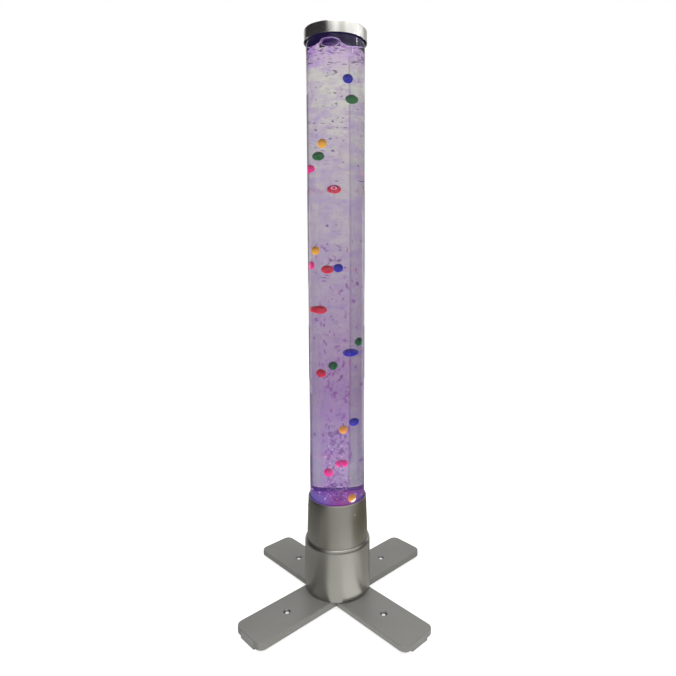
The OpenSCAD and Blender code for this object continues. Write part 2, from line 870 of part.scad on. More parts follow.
module wiring() {
    cable_r = led_cable_d / 2;
    pump_cable_y = -8;
    pump_cable_z = pump_z + pump_h - 8;
    lead_bend_r = 4;
    lead_x = -pump_l / 2 - 1 - lead_bend_r;
    color("black") {
        // light board cable, straight up beside the hose, with a plug at each end
        rotate([0, 0, led_cable_angle]) {
            translate([led_cable_r, 0, 0]) disc(cable_r, board_top, led_ledge_z - board_top);
            plug(led_cable_r, 0, board_top, 6);
            plug(led_cable_r, 0, led_ledge_z - 6, 6);
        }
        // pump lead, out of the case's end and up to a plug under the board
        translate([-pump_l / 2, pump_cable_y, pump_cable_z]) rotate([0, -90, 0])
            cylinder(r = cable_r, h = 1);
        translate([-pump_l / 2 - 1, pump_cable_y, pump_cable_z + lead_bend_r]) rotate([0, 90, 90])
            rotate_extrude(angle = 90) translate([lead_bend_r, 0]) circle(r = cable_r);
        translate([lead_x, pump_cable_y, 0])
            disc(cable_r, pump_cable_z + lead_bend_r, board_z - pump_cable_z - lead_bend_r);
        plug(lead_x, pump_cable_y, board_z - 6, 6);
    }
}

// ---- Cap ----

module cap_shell() {
    color("silver")
        translate([0, 0, cap_z])
            rotate_extrude()
                difference() {
                    union() {
                        square([cap_r, cap_h - cap_edge_r]);
                        square([cap_r - cap_edge_r, cap_h]);
                        translate([cap_r - cap_edge_r, cap_h - cap_edge_r])
                            intersection() {
                                circle(r = cap_edge_r);
                                square([cap_edge_r, cap_edge_r]);
                            }
                    }
                    translate([0, -cut]) square([cap_r - cap_wall, cap_h - cap_edge_r + cut]);
                    square([cap_r - cap_edge_r, cap_h - cap_wall]);
                    translate([cap_r - cap_edge_r, cap_h - cap_edge_r])
                        intersection() {
                            circle(r = cap_edge_r - cap_wall);
                            square([cap_edge_r, cap_edge_r]);
                        }
                }
}

module cap_liner() {
    roof_r = cap_r - cap_edge_r - fit_gap;
    flange_r = tube_r + cap_gap - fit_gap;
    flange_t = 2.5;
    groove_z = tube_top - skirt_h / 2 - seal_w / 2;
    color("black")
        difference() {
            union() {
                disc(flange_r, tube_top, flange_t);
                disc(roof_r, tube_top, liner_h);
                ring(skirt_r, skirt_r - skirt_wall, tube_top - skirt_h, skirt_h + 0.5);
            }
            ring(skirt_r + cut, skirt_r - seal_depth, groove_z, seal_w);
            // vents up through the roof and out over the flange
            around([for (i = [0:vent_count - 1]) i * 360 / vent_count], 0) {
                translate([skirt_r / 2, 0, 0]) disc(vent_d / 2, tube_top - cut, liner_h + 2 * cut);
                translate([skirt_r / 2, -vent_d / 2, tube_top + flange_t])
                    cube([cap_r, vent_d, liner_h]);
            }
        }
}

module cap_seal() {
    color("dimgray")
        ring(tube_in_r - slide_gap, skirt_r - seal_depth, tube_top - skirt_h / 2 - seal_w / 2, seal_w);
}

// ---- Balls ----

module ball(b) {
    color(b[1])
        rotate([0, 0, b[3] * 360 / ring_slots(b[2])])
            translate([b[2], 0, ball_low + b[4] * (ball_high - ball_low)])
                sphere(r = ball_r);
}

// ---- Nodes ----

upper_leg_bar();
lower_leg_bar();
foot_pads();
base_pan();
post_screws();
lower_posts();
upper_posts();
base_housing();
upper_sleeve();
shell_screws();
control_board();
board_parts();
power_inlet();
push_button();
carrier_plate();
tube_seat();
led_board();
leds();
tube();
tube_base_plate();
air_nozzle();
nozzle_seal();
nozzle_nut();
upper_air_hose();
lower_air_hose();
check_valve_body();
check_valve_poppet();
pump_case();
pump_cover();
pump_feet();
pump_core();
pump_coil();
pump_arm();
pump_magnet();
pump_diaphragm();
pump_valve_block();
wiring();
cap_shell();
cap_liner();
cap_seal();
for (b = BALLS)
    ball(b);
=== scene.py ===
# %% [markdown]
# # A bubble tube floor lamp
# The lamp is a clear tube of lit water on a silver housing and a flat cross foot.
# The measured solids come in as a fixed frame, in metres, with +Z up. Every piece made
# here sits in that same frame, so nothing has to be fitted by eye.

import math

import bpy
import bmesh
from mathutils import Matrix, Vector


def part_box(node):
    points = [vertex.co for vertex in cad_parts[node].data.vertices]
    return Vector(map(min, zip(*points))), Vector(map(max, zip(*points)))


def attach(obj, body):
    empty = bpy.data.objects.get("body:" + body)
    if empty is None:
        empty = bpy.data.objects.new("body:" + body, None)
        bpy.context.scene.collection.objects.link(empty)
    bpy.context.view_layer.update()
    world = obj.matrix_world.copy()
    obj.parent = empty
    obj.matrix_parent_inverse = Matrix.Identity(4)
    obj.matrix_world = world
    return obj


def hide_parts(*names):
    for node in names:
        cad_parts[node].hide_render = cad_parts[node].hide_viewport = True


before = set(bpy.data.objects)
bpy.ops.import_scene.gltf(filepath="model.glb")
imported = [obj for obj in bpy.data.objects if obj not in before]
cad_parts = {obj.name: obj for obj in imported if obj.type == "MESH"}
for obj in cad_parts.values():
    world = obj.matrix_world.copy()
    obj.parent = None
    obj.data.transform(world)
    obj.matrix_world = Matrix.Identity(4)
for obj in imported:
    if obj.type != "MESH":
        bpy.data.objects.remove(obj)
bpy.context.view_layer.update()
ROOT, CAP = "lamp", "cap"
MM = 0.001
scene = bpy.context.scene

# %% [markdown]
# Heights and radii are read from the frame, so that the dressed pieces keep to the solids.

# %% Heights and radii, in millimetres
def top_of(node):
    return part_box(node)[1][2] / MM


def foot_of(node):
    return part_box(node)[0][2] / MM


def radius_of(node):
    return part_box(node)[1][0] / MM


BASE_R, BASE_Z, MOUTH_Z = radius_of("base_housing"), foot_of("base_housing"), top_of("base_housing")
RIM_Z = top_of("upper_sleeve")
TUBE_R, TUBE_Z, TUBE_TOP = radius_of("tube"), foot_of("tube"), top_of("tube")
TUBE_WALL = 3
BORE_R = TUBE_R - TUBE_WALL
CAP_R, CAP_Z, CAP_TOP = radius_of("cap_shell"), foot_of("cap_shell"), top_of("cap_shell")
PLATE_TOP = top_of("tube_base_plate")
PAD_H = 5
print("tube", TUBE_R, TUBE_Z, TUBE_TOP, "rim", RIM_Z, "mouth", MOUTH_Z, "cap", CAP_Z)

# %% [markdown]
# ## Helpers for meshes
# Most of the lamp is turned or spun on a lathe. A lathe piece here is a closed profile of
# radius and height that is swept round the tube's axis. Edges sharper than a given angle
# stay crisp and the rest are shaded smooth.

# %% Lathe
def arc(cr, cz, r, start, end, steps=8):
    """Points of an arc in the profile plane, from start to end in degrees."""
    angles = [math.radians(start + (end - start) * i / steps) for i in range(steps + 1)]
    return [(cr + r * math.cos(a), cz + r * math.sin(a)) for a in angles]


def link(data, name):
    piece = bpy.data.objects.new(name, data)
    scene.collection.objects.link(piece)
    return piece


def smooth(mesh, sharp=35):
    mesh.shade_smooth()
    mesh.set_sharp_from_angle(angle=math.radians(sharp))


def poured(bm, name, sharp=None, outwards=False):
    """Turns a bmesh into a linked piece, smooth up to the given angle."""
    if outwards:
        bmesh.ops.recalc_face_normals(bm, faces=bm.faces)
    mesh = bpy.data.meshes.new(name)
    bm.to_mesh(mesh)
    bm.free()
    if sharp is not None:
        smooth(mesh, sharp)
    return link(mesh, name)


def round_ball(name, centre, half_sizes, around, up, hollow=False):
    """A ball, sized in millimetres. A hole in the water is hollow: its faces look inwards."""
    bm = bmesh.new()
    bmesh.ops.create_uvsphere(bm, u_segments=around, v_segments=up, radius=1.0)
    bmesh.ops.scale(bm, vec=Vector(half_sizes) * MM, verts=bm.verts)
    bmesh.ops.translate(bm, vec=Vector(centre) * MM, verts=bm.verts)
    if hollow:
        bmesh.ops.reverse_faces(bm, faces=bm.faces)
    return poured(bm, name, 180)


def lathe(name, profile, around, sharp=35, turn=None):
    """A closed profile [(radius, height)] in millimetres, swept round Z."""
    verts, faces = [], []
    n = len(profile)
    for i in range(around):
        a = 2 * math.pi * i / around
        verts += [(r * math.cos(a) * MM, r * math.sin(a) * MM, z * MM) for r, z in profile]
    for i in range(around):
        j = (i + 1) % around
        for k in range(n):
            m = (k + 1) % n
            faces.append((i * n + k, j * n + k, j * n + m, i * n + m))
    mesh = bpy.data.meshes.new(name)
    mesh.from_pydata(verts, [], faces)
    bm = bmesh.new()
    bm.from_mesh(mesh)
    bmesh.ops.remove_doubles(bm, verts=bm.verts, dist=1e-7)
    bmesh.ops.dissolve_degenerate(bm, edges=bm.edges, dist=1e-7)
    bmesh.ops.recalc_face_normals(bm, faces=bm.faces)
    bm.to_mesh(mesh)
    bm.free()
    if turn is not None:
        mesh.transform(turn)
    smooth(mesh, sharp)
    return link(mesh, name)


def baked(piece):
    """Turns a piece with modifiers into one plain mesh."""
    graph = bpy.context.evaluated_depsgraph_get()
    mesh = bpy.data.meshes.new_from_object(piece.evaluated_get(graph))
    old = piece.data
    piece.modifiers.clear()
    piece.data = mesh
    if old.users == 0:
        bpy.data.meshes.remove(old)
    return piece


def cut_away(piece, cutter):
    """Takes the cutter's shape out of a piece, then throws the cutter away."""
    mod = piece.modifiers.new("cut", "BOOLEAN")
    mod.operation, mod.solver, mod.object = "DIFFERENCE", "EXACT", cutter
    baked(piece)
    bpy.data.objects.remove(cutter)
    return piece


def dress(piece, body, material, slot, *nodes):
    """Gives a piece its finish, its body and the solids it stands for."""
    if material:
        piece.data.materials.clear()
        piece.data.materials.append(material)
    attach(piece, body)
    if nodes:
        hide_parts(*nodes)
    return piece


# %% [markdown]
# ## Finishes
# A finish that several materials share is a node group: it gives a fine grain as a
# roughness and a height, and each material sets its own scale and strength.

# %% Node helpers
def group(name, inputs, outputs, kind="Shader"):
    """A node group. Its inputs and outputs go by label, with a kind of socket each and a first value."""
    tree = bpy.data.node_groups.new(name, kind + "NodeTree")
    for side, sockets in (("INPUT", inputs), ("OUTPUT", outputs)):
        for label, (socket_kind, *value) in sockets.items():
            made = tree.interface.new_socket(name=label, in_out=side, socket_type="NodeSocket" + socket_kind)
            if value:
                made.default_value = value[0]
    return tree, tree.nodes.new("NodeGroupInput"), tree.nodes.new("NodeGroupOutput")


def add(tree, kind, values=None, **settings):
    node = tree.nodes.new(kind)
    for key, value in settings.items():
        setattr(node, key, value)
    for key, value in (values or {}).items():
        if isinstance(value, bpy.types.NodeSocket):
            tree.links.new(value, node.inputs[key])
        else:
            node.inputs[key].default_value = value
    return node


def plug(node, **sources):
    """Links sockets to a node's inputs, by name."""
    for key, source in sources.items():
        node.id_data.links.new(source, node.inputs[key.replace("_", " ")])


def maths(tree, operation, a, b=0.0, clamp=False):
    return add(tree, "ShaderNodeMath", {0: a, 1: b}, operation=operation, use_clamp=clamp).outputs[0]


def times(tree, a, b):
    return maths(tree, "MULTIPLY", a, b)


def plus(tree, a, b):
    return maths(tree, "ADD", a, b)


def minus(tree, a, b):
    return maths(tree, "SUBTRACT", a, b)


def ranged(tree, value, start, end, low=0.0, high=1.0):
    """Runs from low to high while the value goes from start to end."""
    return add(tree, "ShaderNodeMapRange", {"Value": value, "From Min": start, "From Max": end,
                                            "To Min": low, "To Max": high}).outputs[0]


def xyz(tree, vector):
    return add(tree, "ShaderNodeSeparateXYZ", {0: vector}).outputs


def own_place(tree):
    return add(tree, "ShaderNodeTexCoord").outputs["Object"]


def noise(tree, vector, scale, detail, **more):
    return add(tree, "ShaderNodeTexNoise", {"Vector": vector, "Scale": scale, "Detail": detail, **more}).outputs[0]


def blend(tree, factor, a, b, mode="MIX"):
    # sockets 6, 7 and 2 are the ones for colours
    return add(tree, "ShaderNodeMix", {0: factor, 6: a, 7: b}, data_type="RGBA", blend_type=mode).outputs[2]


def clouded(tree, place, scale, detail, colour, share):
    """The colour, with soft clouds of a darker tone."""
    dark = tuple(c * share for c in colour[:3]) + (1,)
    return blend(tree, noise(tree, place, scale, detail), dark, colour)


def finish(name, **sockets):
    """A new material; the given values go on the shader's own sockets."""
    material = bpy.data.materials.new(name)
    material.use_nodes = True
    tree = material.node_tree
    shader = tree.nodes["Principled BSDF"]
    for key, value in sockets.items():
        shader.inputs[key.replace("_", " ")].default_value = value
    return material, tree, shader


# %% Fine grain, as brushing or moulding leaves it
grain, g_in, g_out = group(
    "fine grain",
    {"Vector": ["Vector"], "Scale": ["Float", 1.0], "Roughness": ["Float", 0.3], "Spread": ["Float", 0.1]},
    {"Roughness": ["Float"], "Height": ["Float"]})
fine = noise(grain, g_in.outputs["Vector"], g_in.outputs["Scale"], 6.0, Roughness=0.65)
spread = times(grain, minus(grain, fine, 0.5), g_in.outputs["Spread"])
plug(g_out, Roughness=plus(grain, spread, g_in.outputs["Roughness"]), Height=fine)


def grained(tree, shader, stretch, scale, roughness, spread, bump, turn=(0, 0, 0)):
    """Runs the grain over a material. stretch squeezes it along X, Y and Z."""
    place = own_place(tree)
    mapping = add(tree, "ShaderNodeMapping", {"Vector": place, "Scale": stretch, "Rotation": turn})
    node = add(tree, "ShaderNodeGroup", {0: mapping.outputs[0], 1: scale, 2: roughness, 3: spread}, node_tree=grain)
    lift = add(tree, "ShaderNodeBump", {"Strength": bump, "Distance": 0.0002, "Height": node.outputs["Height"]})
    plug(shader, Roughness=node.outputs["Roughness"], Normal=lift.outputs[0])
    return place


# %% Silver metal
SPUN = (0.05, 0.05, 3.0)    # the grain runs round the turned parts


def silver(name, colour, stretch, roughness, spread=0.16, turn=(0, 0, 0), metallic=1.0):
    material, tree, shader = finish(name, Metallic=metallic)
    place = grained(tree, shader, stretch, 260.0, roughness, spread, 0.12, turn)
    plug(shader, Base_Color=clouded(tree, place, 18.0, 3.0, colour, 0.86))
    return material


housing_metal = silver("spun silver housing", (0.42, 0.415, 0.385, 1), SPUN, roughness=0.34)
sleeve_metal = silver("spun silver sleeve", (0.35, 0.344, 0.311, 1), SPUN, roughness=0.34)
cap_metal = silver("spun silver cap", (0.90, 0.89, 0.86, 1), SPUN, roughness=0.17, spread=0.08)
# the legs carry a silver lacquer, so they are less of a mirror than the turned parts
leg_metal, leg_metal_across = (
    silver("satin silver legs" + suffix, (0.315, 0.311, 0.292, 1), (0.06, 3.0, 3.0), roughness=0.45,
           turn=(0, 0, math.radians(angle)), metallic=0.35)
    for suffix, angle in (("", 45), (" across", -45)))
plated = silver("zinc plate", (0.62, 0.63, 0.64, 1), (1, 1, 1), roughness=0.32)


# %% Plastics and rubber
def moulded(name, colour, roughness=0.45, bump=0.15, **sockets):
    material, tree, shader = finish(name, Base_Color=colour, **sockets)
    place = grained(tree, shader, (1, 1, 1), 700.0, roughness, 0.1, bump)
    plug(shader, Base_Color=clouded(tree, place, 25.0, 2.0, colour, 0.85))
    return material


black_plastic = moulded("black moulded plastic", (0.018, 0.016, 0.020, 1))
# the liner glows faintly purple: painted light from the lit water below it
liner_plastic_painted_glow = moulded("dull black liner", (0.010, 0.006, 0.022, 1), 0.8, Specular_IOR_Level=0.08,
                        Emission_Color=(0.010, 0.006, 0.034, 1), Emission_Strength=1.0)
nozzle_plastic = moulded("magenta lit nozzle", (0.30, 0.06, 0.30, 1), 0.4,
                         Emission_Color=(0.24, 0.03, 0.27, 1), Emission_Strength=0.8)
white_plastic = moulded("white moulded plastic", (0.80, 0.80, 0.78, 1))
button_plastic = moulded("grey button plastic", (0.55, 0.55, 0.54, 1), 0.3)
pad_rubber = moulded("grey pad rubber", (0.34, 0.335, 0.32, 1), 0.7, bump=0.4)
black_rubber = moulded("black rubber", (0.012, 0.012, 0.013, 1), 0.6)
silicone = moulded("milky silicone hose", (0.72, 0.73, 0.74, 1), 0.4)
board_green = moulded("green board lacquer", (0.02, 0.16, 0.07, 1), 0.3, Coat_Weight=0.4)
board_white = moulded("white board lacquer", (0.82, 0.82, 0.84, 1), 0.3, Coat_Weight=0.4)
copper_coil = moulded("lacquered copper winding", (0.45, 0.16, 0.06, 1), 0.3, Coat_Weight=0.6)
# dark steel for the pump's core and magnet, also laid on as painted shade in the legs' sunk holes
dark_steel_and_hole_shade = silver("dark bare steel and painted hole shade", (0.22, 0.22, 0.23, 1), (1, 1, 1), roughness=0.45)
blue_plastic = moulded("blue valve plastic", (0.25, 0.48, 0.65, 1), 0.25)

# %% Finishes for the solids that stay
carried = {
    plated: ["base_pan", "lower_posts", "upper_posts", "carrier_plate", "nozzle_nut", "pump_arm",
             "post_screws", "shell_screws"],
    black_plastic: ["board_parts", "power_inlet", "pump_case", "pump_cover", "wiring"],
    liner_plastic_painted_glow: ["cap_liner"],
    nozzle_plastic: ["air_nozzle", "nozzle_seal"],
    white_plastic: ["tube_seat", "pump_valve_block"],
    black_rubber: ["pump_feet", "pump_diaphragm", "check_valve_poppet", "cap_seal"],
    silicone: ["upper_air_hose", "lower_air_hose"],
    board_green: ["control_board"],
    board_white: ["led_board"],
    copper_coil: ["pump_coil"],
    dark_steel_and_hole_shade: ["pump_core", "pump_magnet"],
    blue_plastic: ["check_valve_body"],
}
for material, names in carried.items():
    for name in names:
        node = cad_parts[name]
        if not node.material_slots:
            node.data.materials.append(material)
        for slot in node.material_slots:
            slot.material = material
print("finishes on carried solids:", sum(len(v) for v in carried.values()))

# %% [markdown]
# ## Housing
# The lower housing is spun sheet: a straight wall that rolls inwards at the shoulder.
# The upper sleeve is a slight cone whose rim is rolled over towards the tube.

# %% Lower housing
SHOULDER, SHEET = 9, 1.5          # radius of the shoulder, thickness of the sheet
MOUTH_IN, MOUTH_EDGE, MOUTH_GAP = 3.2, 0.5, 0.3
MOUTH_R = BASE_R - MOUTH_IN
SLEEVE_LOW_R = MOUTH_R - MOUTH_EDGE - MOUTH_GAP
straight_top = MOUTH_Z - math.sqrt(SHOULDER ** 2 - (SHOULDER - MOUTH_IN) ** 2)
turn_out = math.degrees(math.acos((SHOULDER - MOUTH_IN) / SHOULDER))
turn_in = math.degrees(math.acos((SHOULDER - MOUTH_IN - MOUTH_EDGE) / (SHOULDER - SHEET)))
centre_r = BASE_R - SHOULDER
profile = ([(BASE_R - SHEET, BASE_Z), (BASE_R - 0.3, BASE_Z), (BASE_R, BASE_Z + 0.3)]
           + arc(centre_r, straight_top, SHOULDER, 0, turn_out, 12)
           + [(MOUTH_R - MOUTH_EDGE, MOUTH_Z)]
           + arc(centre_r, straight_top, SHOULDER - SHEET, turn_in, 0, 8))
housing = lathe("lower_housing", profile, 256)


def outward(angle, near, height):
    """Lays a lathe piece on its side, so that it points away from the axis at an angle."""
    return (Matrix.Rotation(math.radians(angle), 4, "Z") @ Matrix.Translation((near * MM, 0, height * MM))
            @ Matrix.Rotation(math.radians(90), 4, "Y"))


def hole_bit(name, angle, height, radius, near, far):
    """A round bit that cuts outwards through the wall at an angle round the axis."""
    profile = [(0, 0), (radius, 0), (radius, far - near), (0, far - near)]
    return lathe(name, profile, 48, turn=outward(angle, near, height))


CONTROL_Z = (foot_of("push_button") + top_of("push_button")) / 2
INLET_ANGLE, BUTTON_ANGLE = 105, 75
cut_away(housing, hole_bit("inlet_bit", INLET_ANGLE, CONTROL_Z, 5.7, 54, 66))
cut_away(housing, hole_bit("button_bit", BUTTON_ANGLE, CONTROL_Z, 4.3, 54, 66))
smooth(housing.data)
dress(housing, ROOT, housing_metal, "brushed_housing", "base_housing")

# %% Upper sleeve
RIM_ROLL, LIP_H, TUCK = 1.4, 6, 10
rim_r, lip_r, tuck_z = TUBE_R + 3.5, TUBE_R + 0.4, MOUTH_Z - TUCK
profile = ([(SLEEVE_LOW_R, tuck_z), (SLEEVE_LOW_R, MOUTH_Z)]
           + arc(rim_r - RIM_ROLL, RIM_Z - RIM_ROLL, RIM_ROLL, 2, 90)
           + arc(lip_r + RIM_ROLL, RIM_Z - RIM_ROLL, RIM_ROLL, 90, 180)
           + [(lip_r, RIM_Z - LIP_H), (rim_r - SHEET + 0.22, RIM_Z - LIP_H),
              (SLEEVE_LOW_R - SHEET, MOUTH_Z), (SLEEVE_LOW_R - SHEET, tuck_z)])
sleeve = lathe("upper_sleeve_shell", profile, 256, 25)
dress(sleeve, ROOT, sleeve_metal, "brushed_housing", "upper_sleeve")

# %% Push button
turn = outward(BUTTON_ANGLE, 0, CONTROL_Z)
tip = BASE_R + 1.8
profile = ([(0, 51.2), (4, 51.2), (4, 57.6), (5.5, 57.6), (5.5, 58.4), (4, 58.4)]
           + arc(3.2, tip - 0.8, 0.8, 0, 80, 5) + [(2.6, tip - 0.12), (1.4, tip - 0.35), (0, tip - 0.42)])
button = lathe("button_cap", profile, 64, 40, turn)
dress(button, "button", button_plastic, "button_plastic", "push_button")

# %% [markdown]
# ## Cross foot
# Each leg bar is pressed from sheet: a flat top, edges folded down all round and a sunk
# hole near each tip. Rounded edges catch the light, so the fold has a real radius.

# %% Leg bars
LEG_L, LEG_W, LEG_R, LEG_SHEET = 402, 74, 13, 2
HOLE_R, SINK_R, SINK_H, HOLE_AT, COLLAR_H = 3.5, 6.5, 2.2, 119, 1.0
PAD_L, PAD_W, FIT_GAP = 32, 38, 0.4
UPPER_ANGLE, LOWER_ANGLE = 45, 135


def rounded_loop(inset, z, steps=10):
    """A rectangle with round corners, as one loop of points."""
    half_l, half_w, r = LEG_L / 2 - inset, LEG_W / 2 - inset, LEG_R - inset
    points = []
    for sx, sy, start in ((1, 1, 0), (-1, 1, 90), (-1, -1, 180), (1, -1, 270)):
        for i in range(steps + 1):
            a = math.radians(start + 90 * i / steps)
            points.append((sx * (half_l - r) + r * math.cos(a), sy * (half_w - r) + r * math.sin(a), z))
    return points


def round_loop(cx, r, z, steps=40):
    return [(cx + r * math.cos(2 * math.pi * i / steps), r * math.sin(2 * math.pi * i / steps), z)
            for i in range(steps)]


def leg_bar(name, angle, top, fold=1.4):
    bm = bmesh.new()

    def loop(points):
        verts = [bm.verts.new(Vector(p) * MM) for p in points]
        return verts, [bm.edges.new((verts[i], verts[(i + 1) % len(verts)])) for i in range(len(verts))]

    def skin(loops):
        made = [loop(points) for points in loops]
        for (low, _), (high, _) in zip(made, made[1:]):
            for i in range(len(low)):
                j = (i + 1) % len(low)
                bm.faces.new((low[i], low[j], high[j], high[i]))
        return made[0], made[-1]

    edge = [rounded_loop(LEG_SHEET, top - LEG_SHEET), rounded_loop(LEG_SHEET, PAD_H),
            rounded_loop(0.3, PAD_H), rounded_loop(0, PAD_H + 0.3)]
    for i in range(7):
        a = math.radians(90 * i / 6)
        edge.append(rounded_loop(fold * (1 - math.cos(a)), top - fold * (1 - math.sin(a))))
    edge.append(rounded_loop(fold + 1.5, top))
    under, over = skin(edge)
    holes = []
    for cx in (-HOLE_AT, HOLE_AT):
        sink = [(SINK_R + 1.6, 0.0), (SINK_R + 0.6, -0.08), (SINK_R, -0.32), (SINK_R - 0.5, -0.8),
                (HOLE_R + 0.35, -SINK_H + 0.35), (HOLE_R, -SINK_H), (HOLE_R, -SINK_H - COLLAR_H),
                (HOLE_R + 1.6, -SINK_H - COLLAR_H), (HOLE_R + 1.6, -SINK_H), (HOLE_R + 2.2, -LEG_SHEET)]
        holes.append(skin([round_loop(cx, r, top + z) for r, z in sink]))
    for side, rim in enumerate((over[1], under[1])):
        bmesh.ops.triangle_fill(bm, use_beauty=True, edges=rim + [e for h in holes for e in h[side][1]])
    bar = poured(bm, name, 40, outwards=True)
    # the pads pass through the folds, and the upper bar straddles the lower one
    under_top = top - LEG_SHEET
    bits = [((side * LEG_L / 2, 0, under_top / 2), (5, PAD_W + FIT_GAP, under_top)) for side in (-1, 1)]
    if angle == UPPER_ANGLE:
        bits.append(((0, 0, 5), (LEG_W + FIT_GAP, 2 * LEG_W, 20)))
    bm = bmesh.new()
    for place, size in bits:
        bmesh.ops.create_cube(bm, size=1, matrix=Matrix.LocRotScale(Vector(place) * MM, None, Vector(size) * MM))
    cut_away(bar, poured(bm, "square_bits"))
    smooth(bar.data, 40)
    bar.data.transform(Matrix.Rotation(math.radians(angle), 4, "Z"))
    weighted = bar.modifiers.new("even shading", "WEIGHTED_NORMAL")
    weighted.keep_sharp = True
    return baked(bar)


UPPER_TOP, LOWER_TOP = top_of("upper_leg_bar"), top_of("lower_leg_bar")
upper_bar = leg_bar("upper_leg", UPPER_ANGLE, UPPER_TOP)
lower_bar = leg_bar("lower_leg", LOWER_ANGLE, LOWER_TOP)
dress(upper_bar, ROOT, leg_metal, "brushed_leg", "upper_leg_bar")
dress(lower_bar, ROOT, leg_metal_across, "brushed_leg", "lower_leg_bar")
# the walls of the sunk holes take the dark steel as painted shade
for bar, top in ((upper_bar, UPPER_TOP), (lower_bar, LOWER_TOP)):
    bar.data.materials.append(dark_steel_and_hole_shade)
    for face in bar.data.polygons:
        x, y, z = face.center / MM
        if abs(math.hypot(x, y) - HOLE_AT) < SINK_R - 0.3 and z < top - 0.4 and face.normal.z > -0.5:
            corners = [bar.data.vertices[v].co / MM for v in face.vertices]
            if all(abs(math.hypot(c.x, c.y) - HOLE_AT) < SINK_R + 0.2 and c.z < top - 0.05 for c in corners) and (
                    min(c.z for c in corners) > PAD_H + 1):
                face.material_index = 1

# %% Rubber pads
bm = bmesh.new()
for angle in (UPPER_ANGLE, LOWER_ANGLE, UPPER_ANGLE + 180, LOWER_ANGLE + 180):
    # a pad reaches up to the underside of its bar's sheet
    pad_top = (UPPER_TOP if angle % 180 == UPPER_ANGLE else LOWER_TOP) - LEG_SHEET
    place = Matrix.LocRotScale(Vector(((LEG_L - PAD_L) / 2, 0, pad_top / 2)) * MM, None,
                               Vector((PAD_L, PAD_W, pad_top)) * MM)
    bmesh.ops.create_cube(bm, size=1, matrix=Matrix.Rotation(math.radians(angle), 4, "Z") @ place)
bmesh.ops.bevel(bm, geom=bm.edges[:], offset=0.8 * MM, segments=3, affect="EDGES", profile=0.5)
dress(poured(bm, "rubber_pads", 40), ROOT, pad_rubber, "pad_rubber", "foot_pads")

# %% [markdown]
# ## Tube and cap
# The tube is clear acrylic. The water inside is a solid of its own that reaches a hair
# into the tube's wall, so that no air gap shows between the two.

# %% Clear tube
clear, tree, shader = finish("clear acrylic", Base_Color=(0.985, 0.98, 0.99, 1), Roughness=0.0, IOR=1.40,
                             Transmission_Weight=1.0)
profile = [(BORE_R, TUBE_Z + 0.4), (BORE_R + 0.4, TUBE_Z), (TUBE_R - 0.4, TUBE_Z), (TUBE_R, TUBE_Z + 0.4),
           (TUBE_R, TUBE_TOP - 0.4), (TUBE_R - 0.4, TUBE_TOP), (BORE_R + 0.4, TUBE_TOP), (BORE_R, TUBE_TOP - 0.4)]
tube = lathe("clear_tube", profile, 256, 30)
dress(tube, ROOT, clear, "clear_tube", "tube")

# %% Cap
profile = ([(CAP_R - 1.5, CAP_Z + 0.1), (CAP_R - 1.4, CAP_Z), (CAP_R - 0.1, CAP_Z), (CAP_R, CAP_Z + 0.1)]
           + arc(CAP_R - 2, CAP_TOP - 2, 2, 0, 90, 8) + [(0, CAP_TOP), (0, CAP_TOP - 1.5)]
           + arc(CAP_R - 2, CAP_TOP - 2, 0.5, 90, 0, 3))
cap = lathe("silver_cap", profile, 256, 30)
dress(cap, CAP, cap_metal, "brushed_housing", "cap_shell")

# %% [markdown]
# ## Water
# The lamp's light gives the water a lilac tint that grows stronger towards the bottom,
# broken up by drifting patches where bubbles bend the light.

# %% Drifting lilac tint
# the water's tints from the surface down: the heights, in metres, where one starts and is full
TINTS = {
    "Crown": (1.0, 1.0, (0.51, 0.34, 0.62, 1)),
    "Top": (0.967, 0.948, (0.585, 0.57, 0.545, 1)),
    "Upper": (0.93, 0.77, (0.48, 0.43, 0.49, 1)),
    "Middle": (0.77, 0.60, (0.41, 0.345, 0.445, 1)),
    "Lower": (0.60, 0.40, (0.325, 0.220, 0.385, 1)),
    "Bottom": (0.40, 0.27, (0.375, 0.270, 0.495, 1)),
    "Foot": (0.1955, 0.1940, (0.30, 0.20, 0.44, 1)),
}
drift, d_in, d_out = group(
    "lilac drift",
    {"Vector": ["Vector"], **{label: ["Color"] for label in TINTS},
     "Patches": ["Float", 0.5], "Strokes": ["Float", 0.5]},
    {"Color": ["Color"]})
depth = xyz(drift, d_in.outputs["Vector"])[2]
tint = d_in.outputs["Crown"]
for label, (start, end, _) in list(TINTS.items())[1:]:
    tint = blend(drift, ranged(drift, depth, start, end), tint, d_in.outputs[label])


def mottle(squash, size, distortion, detail):
    """Noise that is flattened in height, as bubbles' trails are."""
    flat = add(drift, "ShaderNodeMapping", {"Vector": d_in.outputs["Vector"], "Scale": (1.0, 1.0, squash)})
    return noise(drift, flat.outputs[0], size, detail, Distortion=distortion)


def tinted(pattern, start, end, strength, colour):
    weight = times(drift, ranged(drift, pattern, start, end), strength)
    return blend(drift, weight, tint, blend(drift, 1.0, tint, colour, "MULTIPLY"))


patches, strokes = d_in.outputs["Patches"], d_in.outputs["Strokes"]
broad, fine = mottle(1.7, 36.0, 0.6, 1.2), mottle(2.4, 95.0, 0.9, 1.0)
tint = tinted(broad, 0.49, 0.60, patches, (0.84, 0.70, 1.04, 1))
tint = tinted(broad, 0.47, 0.38, patches, (1.08, 1.10, 1.01, 1))
tint = tinted(fine, 0.64, 0.69, strokes, (0.60, 0.42, 0.76, 1))
tint = tinted(fine, 0.34, 0.29, strokes, (1.25, 1.22, 1.28, 1))
plug(d_out, Color=tint)

water_look, tree, shader = finish("lilac water", Roughness=0.0, IOR=1.33, Transmission_Weight=1.0)
place = own_place(tree)
parts = xyz(tree, place)
node = add(tree, "ShaderNodeGroup", {"Vector": place}, node_tree=drift)
for label, (_, _, colour) in TINTS.items():
    node.inputs[label].default_value = colour
